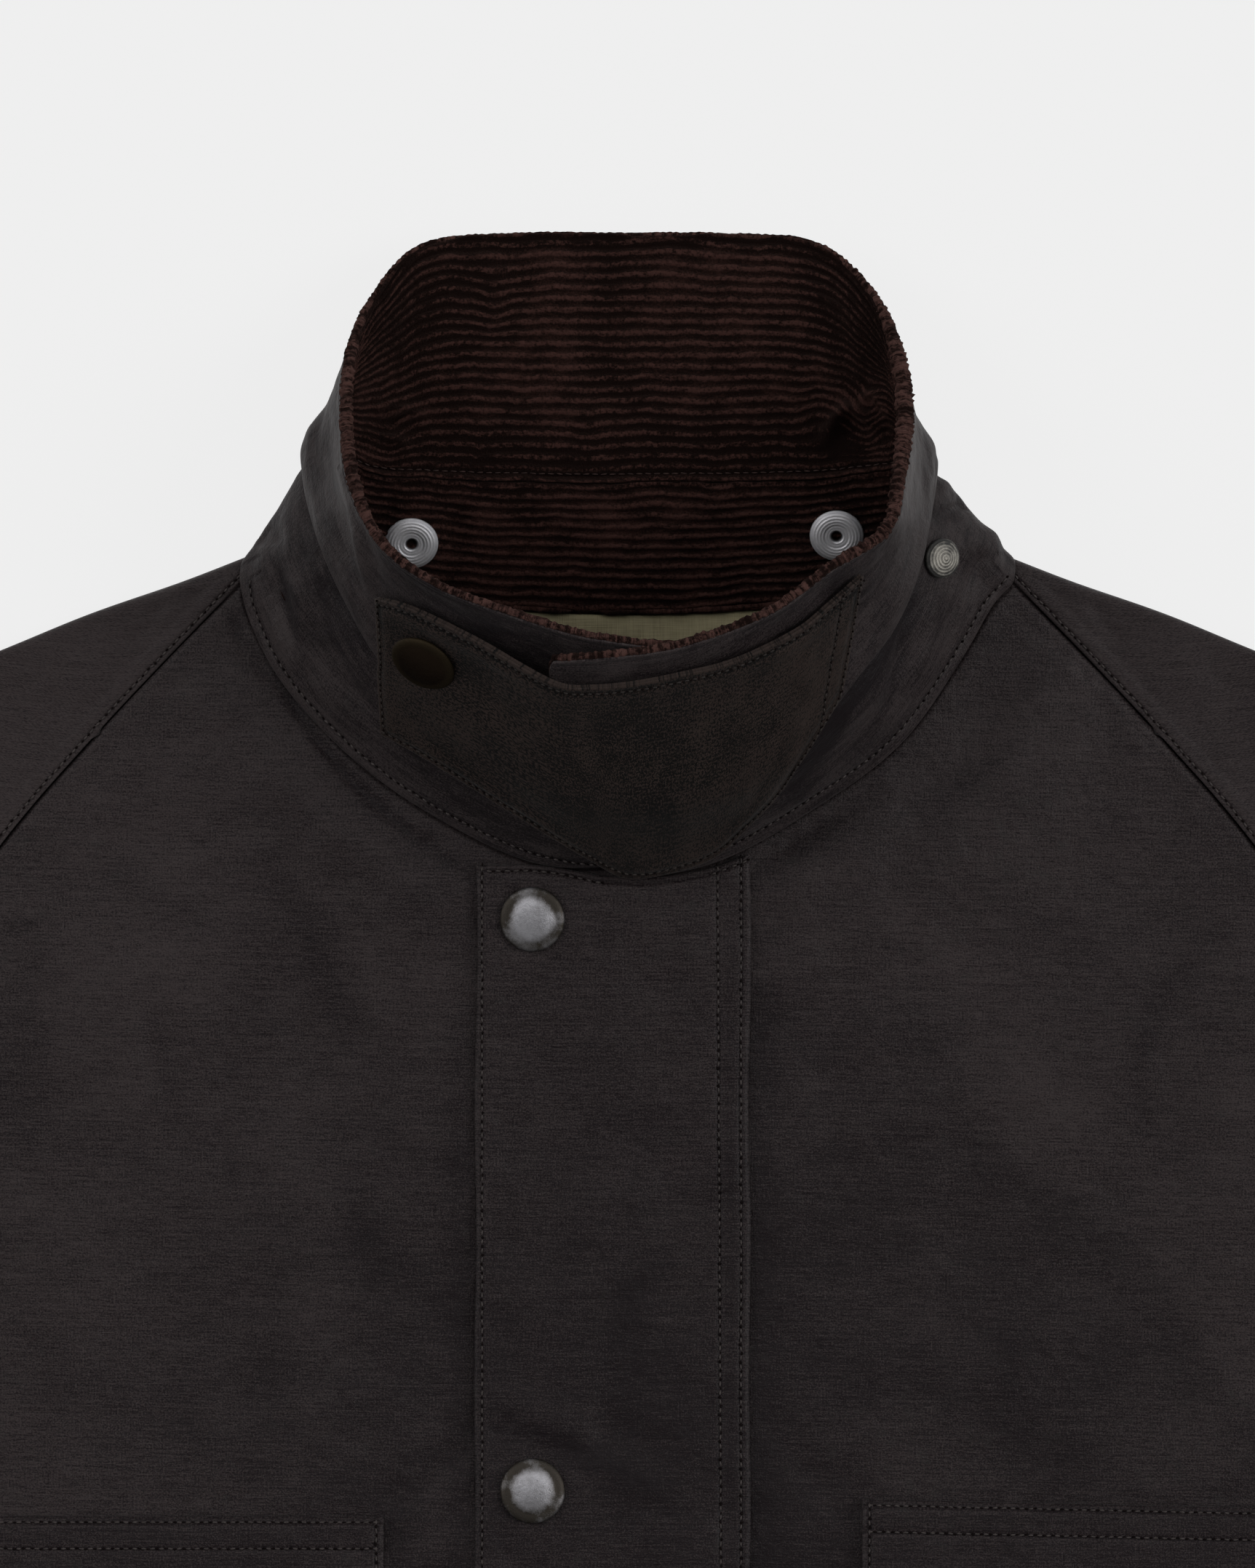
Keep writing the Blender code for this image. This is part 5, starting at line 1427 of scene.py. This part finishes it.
for pocket in POCKETS:
    make_pocket(pocket)
    make_flap(pocket)

# %% [markdown]
# ## Snaps, eyelets and studs
# Snap parts are turned, so each is a profile spun about its axis. A cap's CAD node gives its
# place, by the middle of its box, and the cloth below gives its direction. Eyelets and studs are
# placed by their row and rise on the collar. `radius` is stored on each point for the tarnish,
# the wear and the painted shade in an eyelet's bore.

# %% Turn a profile
SNAP_PROFILE = (
    (0, 2.62), (1, 2.6), (2, 2.54), (3, 2.43), (4, 2.27), (5, 2.04), (5.7, 1.82), (6, 1.74),
    (6.3, 1.72), (6.9, 1.62), (7.4, 1.46), (7.8, 1.22), (8.02, 0.9), (8.05, 0.6), (7.9, 0.25),
    (7.5, 0), (0, 0),
)
STUD_PROFILE = (
    (0, 2.3), (0.5, 2.24), (1.1, 2.06), (1.7, 1.92), (2.3, 1.8), (2.9, 1.66), (3.5, 1.5),
    (4, 1.34), (4.3, 1.26), (4.6, 1.08), (4.85, 0.8), (4.95, 0.45), (4.9, 0), (0, 0),
)
EYELET_PROFILE = (
    (1, -0.6), (1.05, 0.1), (1.25, 0.45), (1.65, 0.8), (2.1, 0.98), (2.4, 0.92), (2.65, 0.9),
    (3.1, 1.05), (3.8, 1.16), (4.6, 1.12), (5.3, 0.95), (5.9, 0.7), (6.35, 0.4), (6.65, 0.1),
    (6.7, 0), (2.2, 0), (2.2, -0.6),
)
TURN_STEPS = 72


def turned(name, profile, centre, normal, finish, slot, node):
    """A closed ring of the profile, spun about an axis through the centre, in millimetres."""
    profile, normal = np.asarray(profile, float), unit(np.asarray(normal, float))
    angle = np.linspace(0, 2 * np.pi, TURN_STEPS, endpoint=False)[:, None]
    side = unit(np.cross(normal, (0.0, 1.0, 0.05)))
    ring = np.cos(angle) * side + np.sin(angle) * np.cross(normal, side)
    points = centre + profile[:, None, :1] * ring[None] + profile[:, None, 1:] * normal
    index = np.arange(len(profile) * TURN_STEPS).reshape(-1, TURN_STEPS)
    if profile[0][0] > 0:
        index = np.vstack([index, index[:1]])
    quads = grid_quads(index, ring=True)[:, [0, 3, 2, 1]]

    def weld(bm):
        bmesh.ops.remove_doubles(bm, verts=bm.verts, dist=0.001 * MM)
        bmesh.ops.dissolve_degenerate(bm, edges=bm.edges, dist=0.0001 * MM)
        bmesh.ops.recalc_face_normals(bm, faces=bm.faces)

    values = {"radius": np.repeat(profile[:, 0], TURN_STEPS)}
    piece = mesh_piece(name, points.reshape(-1, 3), quads, finish, values, mend=weld)
    keep(piece, slot, node)


def node_middle(node):
    """The middle of a CAD node's box, in millimetres from the datum."""
    return np.mean(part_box(node), axis=0) / MM - (0, DATUM_Y, 0)


print("the tab's snap is at", node_middle("tab_snap").round(1))

# %% Place the hardware
def facing(x, y, name, reach=8.0):
    """The mean normal of a cloth's outer face near (x, y), and its height there."""
    points = SURFACES[name].reshape(-1, 3)
    normals = grid_normals(SURFACES[name]).reshape(-1, 3)
    near = np.hypot(points[:, 0] - x, points[:, 1] - y) < reach
    return unit(normals[near].mean(0)), float(points[near][:, 2].mean())


CAP_LIFT, CAP_SINK, TAB_CAP_SCALE = 0.05, 1.3, (1.05, 1.0)
STUD_LIFT, SIDE_STUD_LIFT = 0.1, 0.4
for number in range(1, SNAP_COUNT + 1):
    x, y, _ = node_middle(f"fly_snap_{number}")
    normal, top = facing(x, y, "cloth_storm_fly")
    turned(f"snap_cap_{number}", SNAP_PROFILE, np.array([x, y, top + CAP_LIFT]), normal, PEWTER,
           "pewter", f"fly_snap_{number}")

middle = node_middle("tab_snap")
normal, _ = facing(middle[0], middle[1], "cloth_throat_tab")
print("the tab's snap faces", normal.round(2), "at", middle.round(1))
normal = unit(normal + (0.10, -0.10, -0.03))
turned("snap_cap_tab", np.asarray(SNAP_PROFILE) * TAB_CAP_SCALE,
       middle - normal * CAP_SINK + (0.3, 0.9, 0.3), normal, BRONZE, "antique_bronze", "tab_snap")

# Each eyelet's name, its row around the collar and its rise
EYELETS = (("left", 9.74, 0.485), ("right", 14.24, 0.545))
SIDE_STUD = (18.18, 0.71)
for label, *spot in EYELETS:
    point, normal = collar_lifted(*spot, -HALF_BOND - CORD_WALL)
    turned(f"eyelet_{label}", EYELET_PROFILE, point, -normal, STEEL, "brushed_metal",
           f"hood_eyelet_{label}")
    point, normal = collar_lifted(*spot, HALF_BOND + WALL + STUD_LIFT)
    turned(f"stud_{label}", STUD_PROFILE, point, normal, STUD_STEEL, "brushed_metal",
           f"hood_stud_{label}")
point, normal = collar_lifted(*SIDE_STUD, HALF_BOND + WALL + SIDE_STUD_LIFT)
turned("stud_side", STUD_PROFILE, point + (0.7, -0.5, 0.3), unit(normal + (0, 0, 0.4)), STUD_STEEL,
       "brushed_metal", "hood_stud_side")
print("hardware:", SNAP_COUNT + 6, "turned pieces of at most",
      len(SNAP_PROFILE) * TURN_STEPS * 2, "triangles")

# %% [markdown]
# ## Rows of stitches
# Seams are held by visible stitches, nearly three thousand of them, so Geometry Nodes lay them.
# Each row is a line drawn over the cloth as seen from above and dropped on to it. The tree
# resamples the line at the stitch pitch, puts a small spindle of thread at each point and a dark
# one half a pitch on, painted shade in the needle holes, turns them along the line with a little
# unevenness, and makes it all real geometry.

# %% Drop a row of stitches on to the cloth
FROM_ABOVE, DROP_STEP = 200.0, 1.0
# How far the thread lies over each cloth
THREAD_LIFT, NECK_LIFT, TAB_LIFT, CORD_LIFT = 0.05, 0.1, 0.04, 0.15


def face_tree(points):
    quads = grid_quads(np.arange(points[..., 0].size).reshape(points.shape[:2]))
    return BVHTree.FromPolygons(points.reshape(-1, 3).tolist(), quads.tolist())


TREES = {name: face_tree(points) for name, points in SURFACES.items()}


def dropped(line, name, lift=THREAD_LIFT):
    """The line's points on a cloth, as seen from above, in one run for each unbroken part."""
    line = np.asarray(line, float)
    length = np.linalg.norm(np.diff(line, axis=0), axis=1).sum()
    runs, run = [], []
    for x, y in along_line(line, np.linspace(0, 1, max(int(length / DROP_STEP), 2))):
        spot, normal, _, _ = TREES[name].ray_cast(Vector((x, y, FROM_ABOVE)), Vector((0, 0, -1)))
        if spot is not None:
            run.append(spot + (normal if normal.z > 0 else -normal) * lift)
        elif len(run) > 1:
            runs.append(run)
            run = []
    if len(run) > 1:
        runs.append(run)
    return [np.array(run) for run in runs]


def beside(line, offset):
    """A line moved sideways by an offset, to the left of its direction."""
    line = line[:, :2]
    along = unit(np.gradient(line, axis=0))
    return line + np.stack([-along[:, 1], along[:, 0]], -1) * offset


print(len(TREES), "cloths to sew on")

# %% The stitching tree
STITCH = {"Pitch": 2.2 * MM, "Length": 1.35 * MM, "Thickness": 0.58 * MM, "Hole": 0.78 * MM,
          "Unevenness": 0.16}


def stitching_tree(thread):
    tree = bpy.data.node_groups.new("rows_of_stitches", "GeometryNodeTree")
    face = tree.interface
    face.new_socket("Rows", in_out="INPUT", socket_type="NodeSocketGeometry")
    for label, size in STITCH.items():
        made = face.new_socket(label, in_out="INPUT", socket_type="NodeSocketFloat")
        made.default_value = size
    face.new_socket("Stitches", in_out="OUTPUT", socket_type="NodeSocketGeometry")

    def node(kind, links, output=0, **settings):
        """Makes a node, links or sets its inputs and gives one of its outputs."""
        made = tree.nodes.new(kind)
        for key, setting in settings.items():
            setattr(made, key, setting)
        for key, source in links.items():
            if isinstance(source, bpy.types.NodeSocket):
                tree.links.new(source, made.inputs[key])
            else:
                made.inputs[key].default_value = source
        return made.outputs[output] if made.outputs else None

    def part(shape, x, y, shift, material):
        """A stretched ball with its middle shifted along the row, in one material."""
        size = node("ShaderNodeCombineXYZ", {"X": x, "Y": y, "Z": y})
        move = node("ShaderNodeCombineXYZ", {"X": shift, "Z": 0.0})
        links = {"Geometry": shape, "Scale": size, "Translation": move}
        moved = node("GeometryNodeTransform", links)
        return node("GeometryNodeSetMaterial", {"Geometry": moved, "Material": material})

    given = tree.nodes.new("NodeGroupInput").outputs
    spots = tree.nodes.new("GeometryNodeCurveToPoints")
    spots.mode = "LENGTH"
    tree.links.new(given["Rows"], spots.inputs["Curve"])
    tree.links.new(given["Pitch"], spots.inputs["Length"])
    turn = node("FunctionNodeAlignRotationToVector", {"Vector": spots.outputs["Tangent"]}, axis="X")
    uneven = node("FunctionNodeRandomValue", {"Min": (-1, -1, -1), "Max": (1, 1, 1), "Seed": 7},
                  data_type="FLOAT_VECTOR")
    scaled = node("ShaderNodeVectorMath", {0: uneven, "Scale": given["Unevenness"]},
                  operation="SCALE")
    tilt = node("FunctionNodeEulerToRotation", {0: scaled})
    turned_more = node("FunctionNodeRotateRotation", {"Rotation": turn, "Rotate By": tilt},
                       rotation_space="LOCAL")
    ball = node("GeometryNodeMeshUVSphere", {"Segments": 6, "Rings": 4, "Radius": 0.5}, "Mesh")
    along = node("GeometryNodeTransform", {"Geometry": ball, "Rotation": (0.0, math.pi / 2, 0.0)})
    half = node("ShaderNodeMath", {0: given["Pitch"], 1: 0.5}, operation="MULTIPLY")
    stitch = part(along, given["Length"], given["Thickness"], 0.0, thread)
    # A dark spindle half a pitch on: painted shade in the needle holes.
    hole_shade = part(along, given["Hole"], given["Thickness"], half, NEEDLE_HOLE_SHADE)
    pair = tree.nodes.new("GeometryNodeJoinGeometry")
    for made in (stitch, hole_shade):
        tree.links.new(made, pair.inputs[0])
    laid = node("GeometryNodeInstanceOnPoints",
                {"Points": spots.outputs["Points"], "Instance": pair.outputs[0],
                 "Rotation": turned_more})
    real = node("GeometryNodeRealizeInstances", {"Geometry": laid})
    smooth = node("GeometryNodeSetShadeSmooth", {"Geometry": real})
    node("NodeGroupOutput", {"Stitches": smooth})
    return tree


def sew(name, runs, thread, slot, sizes):
    """Makes one mesh of all the stitches along the runs."""
    curve = bpy.data.curves.new(name + "_rows", "CURVE")
    curve.dimensions = "3D"
    for run in runs:
        spline = curve.splines.new("POLY")
        spline.points.add(len(run) - 1)
        spline.points.foreach_set("co", np.column_stack([metres(run), np.ones(len(run))]).ravel())
    rows = placed(name + "_rows", curve)
    tree = stitching_tree(thread)
    modifier = rows.modifiers.new("sew", "NODES")
    modifier.node_group = tree
    sockets = {item.name: item.identifier for item in tree.interface.items_tree}
    for label, size in sizes.items():
        modifier[sockets[label]] = size
    graph = bpy.context.evaluated_depsgraph_get()
    mesh = bpy.data.meshes.new_from_object(rows.evaluated_get(graph))
    bpy.data.objects.remove(rows)
    keep(placed(name, mesh), slot)
    print(f"{name}: {len(mesh.polygons)} faces in {len(runs)} rows")


print("length and pitch of a stitch in mm:",
      [round(STITCH[size] / MM, 2) for size in ("Length", "Pitch")])

# %% Where the rows run
ROWS = []


def add_row(name, line):
    ROWS.extend(dropped(line, name))


for side, name in ((1, "right"), (-1, "left")):
    add_row(f"cloth_sleeve_{name}", beside(RAGLAN, SEAM_ROW) * (side, 1))
NECK_ROWS = dropped(beside(NECK_LINE, NECK_ROW)[8:-8], "cloth_collar_stand", NECK_LIFT)

FLY_LEFT_X, FLY_RIGHT_X, FLY_ROW_TOP = -37.6, 30.1, -19
row_y = np.linspace(HEM_Y + 2, FLY_ROW_TOP, 60)
for row_x in (FLY_LEFT_X + FLY_LEFT_ROW, FLY_RIGHT_X - FLY_RIGHT_ROW, fly_inner_row(row_y)):
    add_row("cloth_storm_fly", np.column_stack([row_x + 0 * row_y, row_y]))
fly_head = smooth_line(FLY_TOP) - (0, FLY_TOP_ROW)
# The head is sewn in two parts, with its middle left free
for part in (slice(2, 14), slice(27, -1)):
    add_row("cloth_storm_fly", fly_head[part])


def tab_run(share, column):
    """A line on the tab's outer face, given in its own shares and columns."""
    points = SURFACES["cloth_throat_tab"]
    down = np.asarray(share) * (TAB_SHARES - 1)
    over = np.asarray(column) / (len(TAB) - 1) * (TAB_COUNT - 1)
    down, over = np.broadcast_arrays(down, over)
    j = np.clip(np.floor(down).astype(int), 0, TAB_SHARES - 2)
    k = np.clip(np.floor(over).astype(int), 0, TAB_COUNT - 2)
    f, g = (down - j)[:, None], (over - k)[:, None]
    low = lerp(points[j, k], points[j, k + 1], g)
    top = lerp(points[j + 1, k], points[j + 1, k + 1], g)
    return lerp(low, top, f) + grid_normals(points)[j, k] * TAB_LIFT


long_way, short_way = np.linspace(0.1, 10.9, 140), np.linspace(0.02, 0.98, 50)
TAB_TOP_ROWS = [tab_run(0.975, long_way)]
TAB_ROWS = [tab_run(0.025, long_way)]
TAB_ROWS += [tab_run(short_way, column) for column in (0.11, 10.35, 10.9)]

BAG_ROW_TOP = -250
for pocket in POCKETS:
    mirror, inner, outer_y = (pocket["side"], 1), pocket["inner"], pocket["outer_y"]
    name, inner_y = f"cloth_flap_{pocket['name']}", pocket["inner_y"]
    for drop in FLAP_TOP_ROWS:
        ends = np.array([(inner + 1.8, inner_y - drop), (POCKET_OUTER + 1, outer_y - drop)])
        add_row(name, ends * mirror)
    low = inner_y - FLAP_DEPTH + FLAP_SIDE_ROW
    inner_x, outer_x = inner + FLAP_SIDE_ROW, POCKET_OUTER + FLAP_OVERHANG - FLAP_SIDE_ROW
    first = FLAP_TOP_ROWS[0]
    for ends in (((inner_x, inner_y - first), (inner_x, low + 1)),
                 ((outer_x, outer_y - first), (outer_x, low - 3)),
                 ((inner_x, low), (outer_x, outer_y - FLAP_DEPTH + FLAP_SIDE_ROW))):
        add_row(name, np.array(ends) * mirror)
    bag_in, bag_out = inner + FLAP_OVERHANG + POCKET_ROW, POCKET_OUTER - POCKET_ROW
    foot = inner_y - FLAP_STEP - POCKET_LENGTH + POCKET_ROW
    bag = [(bag_in, BAG_ROW_TOP), (bag_in, foot), (bag_out, foot), (bag_out, BAG_ROW_TOP)]
    add_row(f"cloth_pocket_{pocket['name']}", np.array(bag) * mirror)

HEM_LINE = np.array([(40, HEM_Y + HEM_ROW), (278, HEM_Y + HEM_ROW)])
CUFF_LINE = np.array([(636, -386), (532, -463)]) + (-10.0, 6.0)
for side, name in ((-1, "left"), (1, "right")):
    add_row(f"cloth_front_{name}", HEM_LINE * (side, 1))
    add_row(f"cloth_sleeve_{name}", CUFF_LINE * (side, 1))
leaf = SURFACES["corduroy_of_leaf"]
seam_row = int(np.argmin(abs(LEAF_RISES - LEAF_SEAM)))
CORD_ROWS = [leaf[seam_row] + grid_normals(leaf)[seam_row] * CORD_LIFT]
print(len(ROWS), "rows on the waxed cotton")

# %% Sew them
FINER = {"Length": 1.2 * MM, "Pitch": 2.0 * MM, "Hole": 0.6 * MM}
LONGER = {"Length": 1.7 * MM, "Thickness": 0.4 * MM, "Hole": 0.25 * MM}
sew("stitches", ROWS, THREAD, "waxed_cotton", {"Hole": 0.85 * MM})
sew("neck_stitches", NECK_ROWS, NECK_THREAD, "waxed_cotton", {})
sew("tab_stitches", TAB_ROWS, TAB_THREAD, "tab_cotton", FINER)
sew("tab_top_stitches", TAB_TOP_ROWS, TAB_TOP_THREAD, "tab_cotton", FINER)
sew("collar_stitches", CORD_ROWS, CORD_THREAD, "corduroy", LONGER)

# %% [markdown]
# ## Floor, light and camera
# The jacket lies on a plain pale floor under a soft studio sky with a large lamp at each side.
# The floor gives some light of its own, as a light table does, so the shadows stay faint. The
# camera is far away with a long lens and looks straight down on the collar.

# %% The floor
FLOOR_SIZE, FLOOR_DROP, FLOOR_GLOW = 60.0, 0.0004, 0.805
signs = (-1, -1), (1, -1), (1, 1), (-1, 1)
corners = [(x * FLOOR_SIZE, y * FLOOR_SIZE, -FLOOR_DROP) for x, y in signs]
floor_mesh = bpy.data.meshes.new("floor")
floor_mesh.from_pydata(corners, [], [(0, 1, 2, 3)])
paper = {"Base Color": (0.06, 0.06, 0.06, 1.0), "Roughness": 1.0, "Specular IOR Level": 0.0,
         "Emission Color": (1.0, 1.0, 1.0, 1.0), "Emission Strength": FLOOR_GLOW}
floor_mesh.materials.append(Finish("pale_floor").finished({}, paper))
floor = placed("floor", floor_mesh)
print("floor:", 2 * FLOOR_SIZE, "m wide")

# %% The lights
SKY_STRENGTH = 0.32
world = bpy.data.worlds.new("studio")
bpy.context.scene.world = world
world.use_nodes = True
sky = world.node_tree.nodes["Background"]
sky.inputs["Color"].default_value = (1.0, 1.0, 1.0, 1.0)
sky.inputs["Strength"].default_value = SKY_STRENGTH
LAMPS = (
    {"name": "right", "toward": (0.80, 0.10, 0.60), "spread": 32.0, "strength": 1.5},
    {"name": "left", "toward": (-0.80, 0.25, 0.60), "spread": 32.0, "strength": 1.05},
    {"name": "head", "toward": (0.05, 0.55, 0.85), "spread": 50.0, "strength": 0.6},
)
for lamp in LAMPS:
    light = bpy.data.lights.new("lamp_" + lamp["name"], "SUN")
    light.energy, light.angle = lamp["strength"], math.radians(lamp["spread"])
    stand = placed("lamp_" + lamp["name"], light)
    stand.rotation_mode = "QUATERNION"
    stand.rotation_quaternion = Vector(lamp["toward"]).to_track_quat("Z", "Y")
bpy.context.scene.view_settings.view_transform = "Standard"
print(len(LAMPS), "lamps and a sky")

# %% The camera
FRAME_HEIGHT, CAMERA_HEIGHT, SENSOR = 388.5 * MM, 10.0, 36.0
camera = placed("camera", bpy.data.cameras.new("camera"))
camera.data.sensor_width = SENSOR
camera.data.lens = SENSOR * CAMERA_HEIGHT / FRAME_HEIGHT
camera.data.clip_end = 100.0
camera.location = (0.0, DATUM_Y * MM, CAMERA_HEIGHT)
bpy.context.scene.camera = camera
print("lens:", round(camera.data.lens), "mm")
